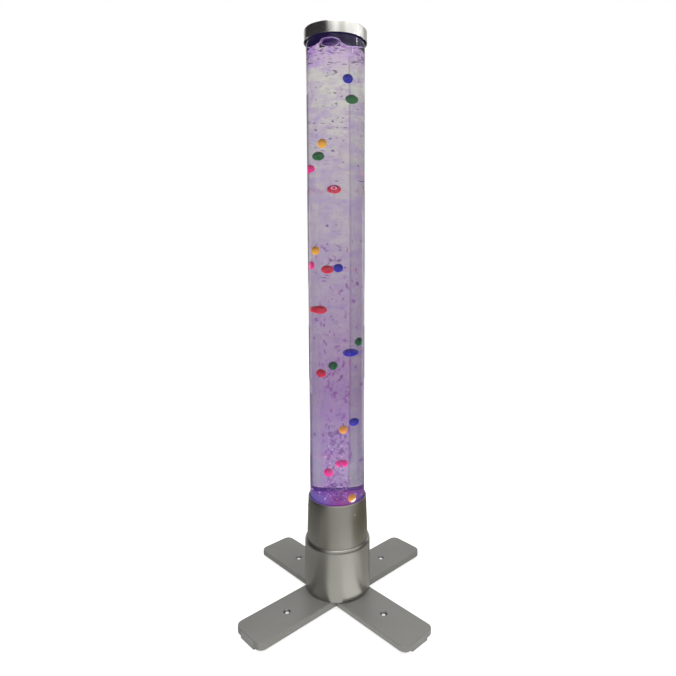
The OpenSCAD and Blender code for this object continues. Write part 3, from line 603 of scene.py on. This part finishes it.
# the water is calm low down and gets more broken up towards the surface
plug(node, Patches=ranged(tree, parts[2], 0.55, 0.90, 0.40, 0.85),
     Strokes=ranged(tree, parts[2], 0.55, 0.90, 0.12, 0.55))
# the far wall below the rim and just above it picks up the glow of the base plate
behind = maths(tree, "GREATER_THAN", parts[1], 0.004)
low = ranged(tree, parts[2], 0.1950, 0.1935)
line = ranged(tree, maths(tree, "ABSOLUTE", minus(tree, parts[2], 0.1968)), 0.0018, 0.0002)
glow = blend(tree, 1.0, blend(tree, low, (0, 0, 0, 1), (0.065, 0.03, 0.19, 1)),
             blend(tree, line, (0, 0, 0, 1), (0.20, 0.13, 0.26, 1)), "ADD")
plug(shader, Base_Color=node.outputs["Color"], Emission_Color=glow, Emission_Strength=behind)

# %% Body of water with a domed, rippled top
WATER_Z = 975.0
DOME_X, DOME_Y = -6.5, -37.0
# height of the waterline on the front wall, from left to right
FRONT_LINE = [(-47, 981.0), (-44.2, 977.2), (-38.8, 974.2), (-32.3, 973.8), (-24.8, 975.7), (-18.9, 981.4),
              (-12.7, 982.7), (-5.6, 982.8), (1.8, 981.6), (7.3, 980.2), (12.8, 974.6), (16.9, 971.9),
              (22.0, 970.6), (28.9, 971.2), (35.2, 973.2), (38.8, 974.4), (44.2, 977.2), (47, 981.0)]


def front_line(x):
    for (x0, z0), (x1, z1) in zip(FRONT_LINE, FRONT_LINE[1:]):
        if x <= x1:
            t = min(1.0, max(0.0, (x - x0) / (x1 - x0)))
            return z0 + (z1 - z0) * t * t * (3 - 2 * t)
    return FRONT_LINE[-1][1]


def surface(x, y):
    """Height of the water's top at a place, in millimetres."""
    behind = y + math.sqrt(max(0.0, BORE_R ** 2 - x * x))
    line = front_line(x)
    flat = WATER_Z + 1.2 * math.sin(x / 7.0 + 1.0) * math.cos(y / 9.0)
    weight = math.exp(-(behind / 22.0) ** 4)
    swell = max(0.0, line - 974.0) / 8.8
    lift = 4.2 * swell * math.exp(-((behind - 11.0) / 7.5) ** 2) * min(1.0, behind / 4.0)
    climb = 1.6 * (1 - weight) * math.exp(-(BORE_R - math.hypot(x, y)) / 1.6)
    return flat + weight * (line - flat) + lift + climb


def water_body(name, radius, foot, around=256, rings=40, storeys=24):
    bm = bmesh.new()
    turns = [2 * math.pi * k / around for k in range(around)]
    middle = bm.verts.new((0, 0, surface(0, 0) * MM))
    loops = []
    for i in range(1, rings + 1):
        r = radius * (1 - (1 - i / rings) ** 1.3)
        spots = [(r * math.cos(a), r * math.sin(a)) for a in turns]
        loops.append([bm.verts.new((x * MM, y * MM, surface(x, y) * MM)) for x, y in spots])
    for i in range(storeys - 1, -1, -1):
        z = foot + (WATER_Z - foot) * i / storeys
        loops.append([bm.verts.new((x * MM, y * MM, z * MM)) for x, y in spots])
    bottom = bm.verts.new((0, 0, foot * MM))
    for k in range(around):
        j = (k + 1) % around
        bm.faces.new((middle, loops[0][k], loops[0][j]))
        bm.faces.new((bottom, loops[-1][j], loops[-1][k]))
        for a, b in zip(loops, loops[1:]):
            bm.faces.new((a[k], b[k], b[j], a[j]))
    return poured(bm, name, 50, outwards=True)


water = water_body("water_body", BORE_R + 0.06, PLATE_TOP - 0.1)
dress(water, ROOT, water_look, "clear_tube")


# %% Meniscus, a fine bead of painted highlight where the water climbs the wall
def wall_bead(name, radius, half_r, half_z, around=256, sides=8):
    bm = bmesh.new()
    loops = []
    for k in range(around):
        a = 2 * math.pi * k / around
        z = surface(BORE_R * math.cos(a), BORE_R * math.sin(a))
        loop = []
        for i in range(sides):
            b = 2 * math.pi * i / sides
            r = radius + half_r * math.cos(b)
            loop.append(bm.verts.new((r * math.cos(a) * MM, r * math.sin(a) * MM, (z + half_z * math.sin(b)) * MM)))
        loops.append(loop)
    for a, b in zip(loops, loops[1:] + loops[:1]):
        for i in range(sides):
            j = (i + 1) % sides
            bm.faces.new((a[i], b[i], b[j], a[j]))
    return poured(bm, name, 180, outwards=True)


meniscus_highlight_look, tree, shader = finish("painted meniscus highlight", Base_Color=(0.5, 0.4, 0.6, 1), Roughness=0.3, Emission_Strength=1.0)
speckle = ranged(tree, noise(tree, own_place(tree), 90.0, 2.0), 0.42, 0.58)
plug(shader, Emission_Color=blend(tree, speckle, (0.30, 0.21, 0.42, 1), (0.68, 0.54, 0.82, 1)))
dress(wall_bead("meniscus", BORE_R - 0.75, 0.5, 0.72), ROOT, meniscus_highlight_look, "clear_tube")

# %% [markdown]
# ## Bubbles
# Bubbles repeat by a rule, so a Geometry Nodes tree scatters them: a number of points with
# a random angle, radius and height, each with a small flattened ball. A bubble is a hole
# in the water, so its faces look inwards.

# %% Bubble tree
def random_value(tree, low, high, seed):
    # sockets 2 and 3 are the bounds and 1 the result for plain numbers
    values = {2: low, 3: high, "Seed": seed}
    return add(tree, "FunctionNodeRandomValue", values, data_type="FLOAT").outputs[1]


def bubble_tree():
    floats = {"Lowest": 0.2, "Highest": 0.9, "Crowding": 1.0, "Inner Radius": 0.0, "Outer Radius": 0.014,
              "Step": 0.0, "Step Start": 0.0, "Jitter": 0.0, "Length": 1.0, "Smallest": 0.0006,
              "Largest": 0.002, "Flatness": 0.7, "Tilt": 0.35, "Wave": 0.0}
    tree, gin, gout = group(
        "bubble scatter",
        {"Count": ["Int", 100], "Seed": ["Int", 1], **{label: ["Float", value] for label, value in floats.items()},
         "Material": ["Material"]},
        {"Geometry": ["Geometry"]}, "Geometry")
    tree.is_modifier = True
    i = gin.outputs
    seeds = [add(tree, "FunctionNodeIntegerMath", {0: i["Seed"], 1: k * 17}, operation="ADD").outputs[0]
             for k in range(8)]
    # radius squared is even over the ring, so the points don't crowd the middle
    square_low = times(tree, i["Inner Radius"], i["Inner Radius"])
    square_high = times(tree, i["Outer Radius"], i["Outer Radius"])
    radius = maths(tree, "SQRT", random_value(tree, square_low, square_high, seeds[0]))
    # the angle is free, or it keeps to columns that stand a step apart
    free = random_value(tree, 0.0, 2 * math.pi, seeds[1])
    safe_step = maths(tree, "MAXIMUM", i["Step"], 0.001)
    jitter = times(tree, random_value(tree, -1.0, 1.0, seeds[7]), i["Jitter"])
    column = times(tree, safe_step, maths(tree, "FLOOR", maths(tree, "DIVIDE", free, safe_step)))
    stepped = plus(tree, plus(tree, i["Step Start"], jitter), column)
    use_step = maths(tree, "GREATER_THAN", i["Step"], 0.0001)
    angle = plus(tree, times(tree, use_step, stepped), times(tree, minus(tree, 1.0, use_step), free))
    share = maths(tree, "POWER", random_value(tree, 0.0, 1.0, seeds[2]), i["Crowding"])
    height = plus(tree, i["Lowest"], times(tree, minus(tree, i["Highest"], i["Lowest"]), share))
    spot = add(tree, "ShaderNodeCombineXYZ", {0: times(tree, radius, maths(tree, "COSINE", angle)),
                                              1: times(tree, radius, maths(tree, "SINE", angle)), 2: height})
    points = add(tree, "GeometryNodePoints", {"Count": i["Count"], "Position": spot.outputs[0]})
    ball = add(tree, "GeometryNodeMeshIcoSphere", {"Radius": 1.0, "Subdivisions": 3})
    # a long bubble wriggles as it climbs: it is bent along its own height
    own_height = xyz(tree, add(tree, "GeometryNodeInputPosition").outputs[0])[2]
    sway = times(tree, maths(tree, "SINE", times(tree, own_height, 4.2)), i["Wave"])
    shift = add(tree, "ShaderNodeCombineXYZ", {1: sway})
    bent = add(tree, "GeometryNodeSetPosition", {"Geometry": ball.outputs[0], "Offset": shift.outputs[0]})
    inward = add(tree, "GeometryNodeFlipFaces", {"Mesh": bent.outputs[0]})
    soft = add(tree, "GeometryNodeSetShadeSmooth", {"Geometry": inward.outputs[0]})
    luck = maths(tree, "POWER", random_value(tree, 0.0, 1.0, seeds[3]), 2.0)
    size = plus(tree, i["Smallest"], times(tree, luck, minus(tree, i["Largest"], i["Smallest"])))
    flat = times(tree, size, random_value(tree, i["Flatness"], 1.0, seeds[4]))
    # the instance's X points away from the axis and its Y runs along the wall
    scale = add(tree, "ShaderNodeCombineXYZ", {0: size, 1: times(tree, size, i["Length"]), 2: flat})
    lean = times(tree, random_value(tree, -1.0, 1.0, seeds[5]), i["Tilt"])
    tilt = add(tree, "ShaderNodeCombineXYZ", {0: lean, 1: random_value(tree, -0.1, 0.1, seeds[6]), 2: angle})
    put = add(tree, "GeometryNodeInstanceOnPoints",
              {"Points": points.outputs[0], "Instance": soft.outputs[0], "Scale": scale.outputs[0]})
    turn = add(tree, "FunctionNodeEulerToRotation", {0: tilt.outputs[0]})
    tree.links.new(turn.outputs[0], put.inputs["Rotation"])
    real = add(tree, "GeometryNodeRealizeInstances", {0: put.outputs[0]})
    painted = add(tree, "GeometryNodeSetMaterial", {"Geometry": real.outputs[0], "Material": i["Material"]})
    tree.links.new(painted.outputs[0], gout.inputs[0])
    return tree


bubbles = bubble_tree()
clear_as_glass = dict(Roughness=0.0, IOR=1.33, Transmission_Weight=1.0)
bubble_look = finish("air bubble", Base_Color=(0.60, 0.42, 0.76, 1), **clear_as_glass)[0]
wisp_look = finish("rising wisp", Base_Color=(0.80, 0.42, 0.84, 1), **{**clear_as_glass, "IOR": 1.025})[0]
lit_look = finish("lit bubble", Base_Color=(0.9, 0.75, 0.95, 1), Roughness=0.2,
                  Emission_Color=(0.85, 0.60, 0.90, 1), Emission_Strength=0.9)[0]


def rim_highlighted(name, colour, start, end, middle, edge):
    """A bubble whose rim glows with a painted highlight, where it would catch the light."""
    material, tree, shader = finish(name, Base_Color=colour, Emission_Strength=1.0, **clear_as_glass)
    facing = add(tree, "ShaderNodeLayerWeight", {"Blend": 0.5}).outputs["Facing"]
    plug(shader, Emission_Color=blend(tree, ranged(tree, facing, start, end), middle, edge))
    return material


# the air under the dome is tinted dark purple, with a faint painted glow inside and a painted highlight at its rim
dome_look = rim_highlighted("air under the dome", (0.06, 0.03, 0.12, 1), 0.80, 0.95,
                   (0.016, 0.004, 0.044, 1), (0.42, 0.32, 0.50, 1))
ring_highlight_look = rim_highlighted("clinging bubble", (0.95, 0.70, 0.78, 1), 0.45, 0.75, (0.10, 0.02, 0.03, 1), (1.10, 0.62, 0.78, 1))


def scatter(name, look, **values):
    """One cloud of bubbles, as a plain mesh that rides with the lamp."""
    piece = link(bpy.data.meshes.new(name), name)
    mod = piece.modifiers.new("bubbles", "NODES")
    mod.node_group = bubbles
    ids = {item.name: item.identifier for item in bubbles.interface.items_tree if item.in_out == "INPUT"}
    for key, value in values.items():
        mod[ids[key.replace("_", " ")]] = value
    mod[ids["Material"]] = look
    baked(piece)
    dress(piece, ROOT, None, "clear_tube")
    print(name, len(piece.data.polygons), "faces")


# %% Stream, drifting bubbles and foam
# bubbles near the wall keep to columns between those in which the balls rise
COLUMN = math.radians(24)
COLUMNS = dict(Step=COLUMN, Step_Start=COLUMN / 2, Jitter=math.radians(4.2))
# name, look, count, seed, lowest, highest, outer radius, smallest, largest, flatness, what else is set
CLOUDS = [
    ("large_bubbles", wisp_look, 16, 15, 0.24, 0.60, 0.0430, 0.0018, 0.0036, 1.3,
     dict(Inner_Radius=0.030, Tilt=0.4, **COLUMNS)),
    ("bubble_stream_low", bubble_look, 110, 3, 0.193, 0.33, 0.0135, 0.0008, 0.0018, 2.8,
     dict(Crowding=1.2, Tilt=1.2, Wave=0.8)),
    ("wisps_low", wisp_look, 100, 7, 0.20, 0.45, 0.0220, 0.0008, 0.0014, 6.0, dict(Tilt=0.7, Wave=1.3)),
    ("wisps_middle", wisp_look, 70, 9, 0.40, 0.66, 0.0300, 0.0008, 0.0014, 5.0, dict(Tilt=1.0, Wave=1.2)),
    ("bubble_stream_high", bubble_look, 85, 11, 0.60, 0.955, 0.0135, 0.0006, 0.0024, 0.4, {}),
    ("wisps_at_wall", wisp_look, 90, 41, 0.205, 0.60, 0.0461, 0.0005, 0.0008, 7.0,
     dict(Inner_Radius=0.0450, Tilt=0.6, Wave=1.2, **COLUMNS)),
    ("bubbles_at_wall", bubble_look, 95, 23, 0.56, 0.932, 0.0462, 0.0004, 0.0010, 0.6,
     dict(Inner_Radius=0.0455, Crowding=0.9, Length=3.6, **COLUMNS)),
    ("foam_under_surface", bubble_look, 90, 31, 0.9600, 0.9700, 0.0455, 0.0005, 0.0014, 0.5,
     dict(Inner_Radius=0.030, Crowding=0.8, Length=2.6)),
    ("sparks", lit_look, 24, 19, 0.1895, 0.198, 0.0400, 0.0004, 0.0011, 1.4, dict(Tilt=0.9)),
    ("lit_bubbles", lit_look, 60, 5, 0.1895, 0.29, 0.0210, 0.0003, 0.0009, 1.6, dict(Crowding=1.5, Tilt=0.9)),
]
for name, look, count, seed, lowest, highest, outer, smallest, largest, flatness, more in CLOUDS:
    scatter(name, look, Count=count, Seed=seed, Lowest=lowest, Highest=highest, Outer_Radius=outer,
            Smallest=smallest, Largest=largest, Flatness=flatness, **more)

# %% Big bubble under the dome
dome = round_ball("dome_bubble", (DOME_X, DOME_Y, 977.4), (13.6, 9.4, 7.2), 64, 40, hollow=True)
dress(dome, ROOT, dome_look, "clear_tube")

# %% [markdown]
# ## Lit base plate
# Twelve diodes shine through an opal plate, which glows in bands of blue violet,
# magenta and purple.

# %% Glowing opal plate
plate_look, tree, shader = finish("glowing opal plate", Base_Color=(0.30, 0.20, 0.42, 1), Roughness=0.35,
                                  Emission_Strength=1.0)
place = own_place(tree)
across = ranged(tree, xyz(tree, place)[0], -BORE_R * MM, BORE_R * MM)
wobble = times(tree, minus(tree, noise(tree, place, 45.0, 2.0), 0.5), 0.35)
ramp = add(tree, "ShaderNodeValToRGB", {0: plus(tree, across, wobble)})
bands = [(0.0, (0.07, 0.06, 0.26, 1)), (0.22, (0.10, 0.08, 0.38, 1)), (0.45, (0.24, 0.03, 0.28, 1)),
         (0.6, (0.30, 0.025, 0.24, 1)), (0.8, (0.12, 0.05, 0.26, 1)), (1.0, (0.10, 0.05, 0.22, 1))]
while len(ramp.color_ramp.elements) < len(bands):
    ramp.color_ramp.elements.new(0.5)
for element, (position, colour) in zip(ramp.color_ramp.elements, bands):
    element.position, element.color = position, colour
plug(shader, Emission_Color=ramp.outputs[0])
PLATE_T, NOZZLE_R = 6, 5.05
profile = ([(NOZZLE_R, PLATE_TOP - PLATE_T), (BORE_R - 0.2, PLATE_TOP - PLATE_T), (BORE_R, PLATE_TOP - PLATE_T + 0.2)]
           + arc(BORE_R - 0.4, PLATE_TOP - 0.4, 0.4, 0, 90, 3) + [(NOZZLE_R, PLATE_TOP)])
plate = lathe("opal_plate_glow", profile, 160, 30)
dress(plate, ROOT, plate_look, "opal_plate", "tube_base_plate")

lens_look = finish("lit diode", Base_Color=(0.8, 0.7, 0.9, 1), Emission_Color=(0.8, 0.4, 1.0, 1),
                   Emission_Strength=1.2, Roughness=0.2)[0]
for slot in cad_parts["leds"].material_slots:
    slot.material = lens_look

# %% [markdown]
# ## Floating balls
# Glossy plastic balls in five colours, each a body of its own that rises and sinks.

# %% Balls
BALL_COLOURS = {
    "blue": (0.012, 0.015, 0.36, 1),
    "green": (0.002, 0.125, 0.024, 1),
    "amber": (0.86, 0.43, 0.038, 1),
    "pink": (0.92, 0.022, 0.25, 1),
    "red": (0.60, 0.020, 0.045, 1),
}
CRESCENT_AIM = (0.50, -0.30, -0.81)    # the side that faces the lit base plate
ball_looks = {}
for colour_name, colour in BALL_COLOURS.items():
    look, tree, shader = finish("ball " + colour_name, Base_Color=colour, Coat_Weight=0.1, Roughness=0.3)
    place = grained(tree, shader, (1, 1, 1), 400.0, 0.25, 0.05, 0.04)
    painted = clouded(tree, place, 120.0, 1.0, colour, 0.8)
    # the light in the tube comes from below, so a ball's lower half is the bright one
    normal = place.node.outputs["Normal"]
    below = ranged(tree, xyz(tree, normal)[2], 0.9, -0.9, 0.30, 1.4)
    # near the lit base plate its underside shows a bright crescent
    aim = add(tree, "ShaderNodeVectorMath", {0: normal, 1: CRESCENT_AIM}, operation="DOT_PRODUCT").outputs["Value"]
    height = xyz(tree, place)[2]
    shown = times(tree, ranged(tree, aim, 0.45, 0.85), ranged(tree, height, 0.225, 0.200))
    # the balls glow with painted light, stronger towards the lit base plate
    gain = ranged(tree, height, 0.9, 0.25, 0.9, 1.6)
    lit = blend(tree, 1.0, painted, below, "MULTIPLY")
    warm = tuple(min(1.0, c * 0.1 + share) for c, share in zip(colour, (0.62, 0.84, 0.44))) + (1,)
    plug(shader, Base_Color=painted, Emission_Color=blend(tree, shown, lit, warm),
         Emission_Strength=plus(tree, gain, times(tree, shown, 1.7)))
    ball_looks[colour_name] = look


def middle_of(node):
    low, high = (Vector(corner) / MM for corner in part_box(node))
    return (low + high) / 2, (high.z - low.z) / 2


for name in sorted(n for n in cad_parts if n.startswith("ball_")):
    centre, radius = middle_of(name)
    colour_name = name.split("_")[1]
    ball = round_ball(name + "_gloss", centre, (radius,) * 3, 48, 32)
    dress(ball, name, ball_looks[colour_name], "ball_" + colour_name, name)
# an air bubble clings to one red ball and rises with it; its rim glows as a painted ring highlight
centre = middle_of("ball_red_1")[0] + Vector((0.2, -10.6, 1.4))
dress(round_ball("clinging_bubble", centre, (3.3,) * 3, 40, 24, hollow=True), "ball_red_1", ring_highlight_look, "clear_tube")
print("balls done")

# %% [markdown]
# ## Studio
# A pale floor and a white surround. The lamps are soft and large. Dark and bright cards
# stand round the lamp, out of the picture: metal mirrors them and the tube shows them.

# %% Floor
def show_mix(tree, share, first, second):
    mixed = add(tree, "ShaderNodeMixShader", {0: share, 1: first.outputs[0], 2: second.outputs[0]})
    plug(tree.nodes["Material Output"], Surface=mixed.outputs[0])


def stage_look(name, colour, seen_glow, glass_glow):
    material, tree, shader = finish(name, Base_Color=colour, Roughness=0.9, Emission_Color=(1, 1, 1, 1))
    path = add(tree, "ShaderNodeLightPath")
    in_glass = maths(tree, "MAXIMUM", path.outputs["Is Glossy Ray"], path.outputs["Is Transmission Ray"])
    glow = plus(tree, times(tree, path.outputs["Is Camera Ray"], seen_glow), times(tree, in_glass, glass_glow))
    plug(shader, Emission_Strength=glow)
    plain = add(tree, "ShaderNodeEmission", {"Color": (1, 1, 1, 1), "Strength": 1.0})
    show_mix(tree, path.outputs["Is Transmission Ray"], shader, plain)
    return material


bm = bmesh.new()
bmesh.ops.create_grid(bm, x_segments=1, y_segments=1, size=6.0)
floor = poured(bm, "studio_floor")
floor.data.materials.append(stage_look("pale floor", (0.82, 0.82, 0.82, 1), 0.72, 0.35))

# %% World
world = bpy.data.worlds.new("white studio")
scene.world = world
world.use_nodes = True
tree = world.node_tree
background = tree.nodes["Background"]
background.inputs["Color"].default_value = (1, 1, 1, 1)
path = add(tree, "ShaderNodeLightPath")
seen = maths(tree, "MAXIMUM", path.outputs["Is Camera Ray"],
             maths(tree, "MAXIMUM", path.outputs["Is Glossy Ray"], path.outputs["Is Transmission Ray"]))
plug(background, Strength=plus(tree, 0.45, times(tree, seen, 0.55)))


# %% Lamps and cards
def lamp(name, place, target, size, power):
    light = bpy.data.lights.new(name, "AREA")
    light.shape, light.size, light.size_y, light.energy = "RECTANGLE", *size, power
    piece = link(light, name)
    piece.location = place
    piece.rotation_euler = (Vector(target) - Vector(place)).to_track_quat("-Z", "Y").to_euler()
    piece.visible_glossy = piece.visible_transmission = False


lamp("key_right", (1.47, -0.85, 1.95), (0, 0, 0.6), (0.42, 0.9), 11)
lamp("fill_left", (-1.6, -1.0, 1.3), (0, 0, 0.4), (0.8, 1.2), 6)
lamp("low_front", (0.2, -1.7, 0.3), (0, 0, 0.05), (1.4, 0.5), 5)
lamp("top", (0, -0.2, 2.4), (0, 0, 0.4), (1.4, 1.4), 12)

CAMERA_PLACE = (0.0504, -0.9526, 0.6451)
FRONT = math.atan2(CAMERA_PLACE[1], CAMERA_PLACE[0])    # direction from the lamp to the camera


def card(name, near, far, low, high, start, end, shade, glass=False, soft=(0, 0), fade=None, rise=0,
         low_shade=None, one_sided=False):
    """A studio card, bent round the lamp. start and end are degrees to the right of the front.

    It reaches from radius near at height low to radius far at height high. Shiny surfaces
    see it, or with glass only what is seen through the tube. Its two ends fade over the
    soft angles, its outer edge fades from the radius fade, its foot fades over the height
    rise, and it may blend to another shade towards its foot. A one sided card shows only
    from above."""
    bm = bmesh.new()
    half = math.radians(abs(end - start)) / 2
    steps = max(4, int(abs(end - start) / 5))
    turns = [half * (2 * i / steps - 1) for i in range(steps + 1)]
    foot, head = ([bm.verts.new((radius * math.cos(a), radius * math.sin(a), height)) for a in turns]
                  for radius, height in ((near, low), (far, high)))
    for i in range(steps):
        bm.faces.new((foot[i], foot[i + 1], head[i + 1], head[i]))
    piece = poured(bm, name)
    material, tree, shader = finish(name, Base_Color=(0, 0, 0, 1), Roughness=1.0, Emission_Color=shade + (1,),
                                    Emission_Strength=1.0, Specular_IOR_Level=0.0)
    piece.data.materials.append(material)
    x, y, z = xyz(tree, own_place(tree))
    through = add(tree, "ShaderNodeLightPath").outputs["Is Transmission Ray"]
    shares = [through if glass else minus(tree, 1.0, through)]
    turn = maths(tree, "ARCTAN2", y, x)
    for side, angle in zip((-1, 1), soft):
        if angle:
            inside = minus(tree, half, times(tree, turn, side))
            shares.append(maths(tree, "DIVIDE", inside, math.radians(angle), clamp=True))
    if fade:
        radius = maths(tree, "POWER", plus(tree, times(tree, x, x), times(tree, y, y)), 0.5)
        shares.append(maths(tree, "DIVIDE", minus(tree, far, radius), far - fade, clamp=True))
    if one_sided:
        shares.append(add(tree, "ShaderNodeNewGeometry").outputs["Backfacing"])
    if rise:
        shares.append(maths(tree, "DIVIDE", minus(tree, z, low), rise, clamp=True))
    shown = shares[0]
    for share in shares[1:]:
        shown = times(tree, shown, share)
    if low_shade:
        upper = ranged(tree, z, 0.10, 0.55)
        plug(shader, Emission_Color=blend(tree, upper, low_shade + (1,), shade + (1,)))
    show_mix(tree, shown, add(tree, "ShaderNodeBsdfTransparent"), shader)
    piece.rotation_euler = (0, 0, FRONT + math.radians((start + end) / 2))
    piece.visible_camera = piece.visible_diffuse = piece.visible_shadow = False


# what the cap shows: dark on the left, bright on the right, a little grey behind it
card("cap_card_dark", 1.3, 1.3, 1.20, 2.4, -162, -1, (0.035, 0.032, 0.036), soft=(30, 32), rise=0.2)
card("cap_card_grey", 1.32, 1.32, 1.20, 2.4, 5, 40, (0.62, 0.62, 0.58), soft=(14, 14), rise=0.2)
card("cap_card_bright", 1.32, 1.32, 1.20, 2.4, 58, 100, (1.10, 1.10, 1.06), soft=(12, 12), rise=0.2)
card("cap_card_behind_right", 1.3, 1.3, 1.20, 2.4, 110, 165, (0.42, 0.41, 0.38), soft=(16, 8), rise=0.2)
# what the sleeve shows: the studio floor is dark to the left and to the right
card("floor_card_left", 0.27, 0.8, 0.001, 0.05, -178, -62, (0.28, 0.275, 0.26), fade=0.5)
card("floor_card_left_front", 0.27, 0.8, 0.001, 0.05, -62, -28, (0.45, 0.44, 0.42), fade=0.5)
card("floor_card_front", 0.27, 0.8, 0.001, 0.05, -28, 0, (0.70, 0.69, 0.66), fade=0.5)
card("floor_card_right", 0.27, 0.8, 0.001, 0.05, 52, 178, (0.24, 0.21, 0.15), fade=0.5)
card("inner_card_left", 0.07, 0.26, 0.0005, 0.001, -178, -40, (0.35, 0.345, 0.33))
card("inner_card_front", 0.05, 0.26, 0.0012, 0.0014, -40, 40, (0.88, 0.875, 0.84))
card("inner_card_right", 0.07, 0.26, 0.0005, 0.001, 64, 178, (0.50, 0.49, 0.46), soft=(16, 0))
card("leg_reflector_left", 0.066, 0.22, 0.019, 0.035, -60, -24, (0.26, 0.255, 0.24), soft=(8, 8), one_sided=True)
card("leg_reflector_right", 0.066, 0.22, 0.019, 0.035, 8, 56, (1.15, 1.14, 1.10), soft=(8, 8), one_sided=True)
# the roll of the shoulder catches a low strip of light
card("low_strip", 0.2, 0.2, 0.12, 0.32, -38, 85, (0.50, 0.49, 0.46), soft=(12, 30))
card("arc_strip", 0.19, 0.22, 0.165, 0.285, -36, 85, (2.7, 2.65, 2.75), soft=(14, 34), rise=0.045, fade=0.207)
card("high_strip", 1.15, 0.35, 1.66, 1.86, -36, 88, (3.0, 3.0, 2.9), soft=(12, 30))
card("low_shade", 0.21, 0.21, 0.130, 0.20, -165, -36, (0.02, 0.02, 0.02), soft=(20, 10))
# the tube mirrors a dark room, so that its water stays clear to look into
card("room_floor", 0.5, 1.45, 0.0005, 0.0006, -150, 130, (0.08, 0.076, 0.08), soft=(15, 15))
card("room_wall", 1.45, 1.45, 0.0, 1.40, -130, 130, (0.08, 0.076, 0.08), soft=(15, 15))
card("room_side_left", 1.46, 1.46, 0.78, 1.30, -165, -112, (0.12, 0.115, 0.13), soft=(12, 12), rise=0.12)
card("room_side_right", 1.46, 1.46, 0.78, 1.30, 112, 165, (0.25, 0.24, 0.26), soft=(12, 12), rise=0.12)
card("floor_behind", 1.7, 3.6, 0.0008, 0.0009, 150, 210, (0.05, 0.045, 0.06))
card("room_back", 1.46, 1.46, 0.45, 0.90, 140, 220, (0.08, 0.08, 0.075), soft=(15, 15), rise=0.1)
card("streak_near", 1.25, 1.25, 1.34, 1.475, 65.5, 70.0, (0.85, 0.75, 0.9), soft=(1.5, 1.5))
card("streak_far", 1.25, 1.25, 1.412, 1.46, 84.5, 93.5, (9, 9, 9), soft=(2, 2))
card("streak_low", 1.25, 1.25, 1.372, 1.402, 65.0, 70.5, (7, 6, 7.4), soft=(2, 2))
# what the tube shows through the water: a grey panel whose edge is the line right of the middle
card("panel_edge", 0.358, 0.358, 0.001, 1.4, -171.0, -168.2, (0.60, 0.57, 0.62), glass=True, soft=(1, 2),
     low_shade=(0.52, 0.62, 0.44))
card("panel", 0.36, 0.36, 0.001, 1.4, -168.6, -128, (0.84, 0.84, 0.86), glass=True, low_shade=(0.80, 1.02, 0.70))
card("panel_side", 0.36, 0.36, 0.001, 1.4, -128, -90, (0.55, 0.54, 0.56), glass=True)
card("panel_far_side", 0.36, 0.36, 0.001, 1.4, 90, 126, (0.55, 0.52, 0.56), glass=True)
card("panel_left", 0.363, 0.363, 0.001, 1.4, 143, 169, (0.99, 1.0, 0.99), glass=True, soft=(4, 9),
     low_shade=(1.0, 1.22, 0.94))
card("panel_far_edge", 0.362, 0.362, 0.001, 1.4, 122, 143, (0.46, 0.44, 0.49), glass=True, soft=(2, 4))
# the dark ceiling that shows in the air space under the cap
card("ceiling_card", 0.35, 0.35, 1.085, 1.5, -180, 180, (0.020, 0.010, 0.050), glass=True)

# %% [markdown]
# ## Camera
# The camera stands just under two thirds of the lamp's height, a metre away, and looks
# slightly down. Its place comes from the ellipses and edges in the photograph.

# %% Camera
lens = bpy.data.cameras.new("photo_camera")
lens.sensor_width, lens.sensor_fit, lens.lens = 36.0, "HORIZONTAL", 28.60
lens.shift_x, lens.shift_y = -0.0266, -0.0385
camera = link(lens, "photo_camera")
camera.location = CAMERA_PLACE
pitch, heading = math.radians(6.673), math.radians(0.942)
camera.rotation_euler = (math.radians(90) - pitch, 0, heading)
scene.camera = camera
scene.view_settings.view_transform = "Standard"
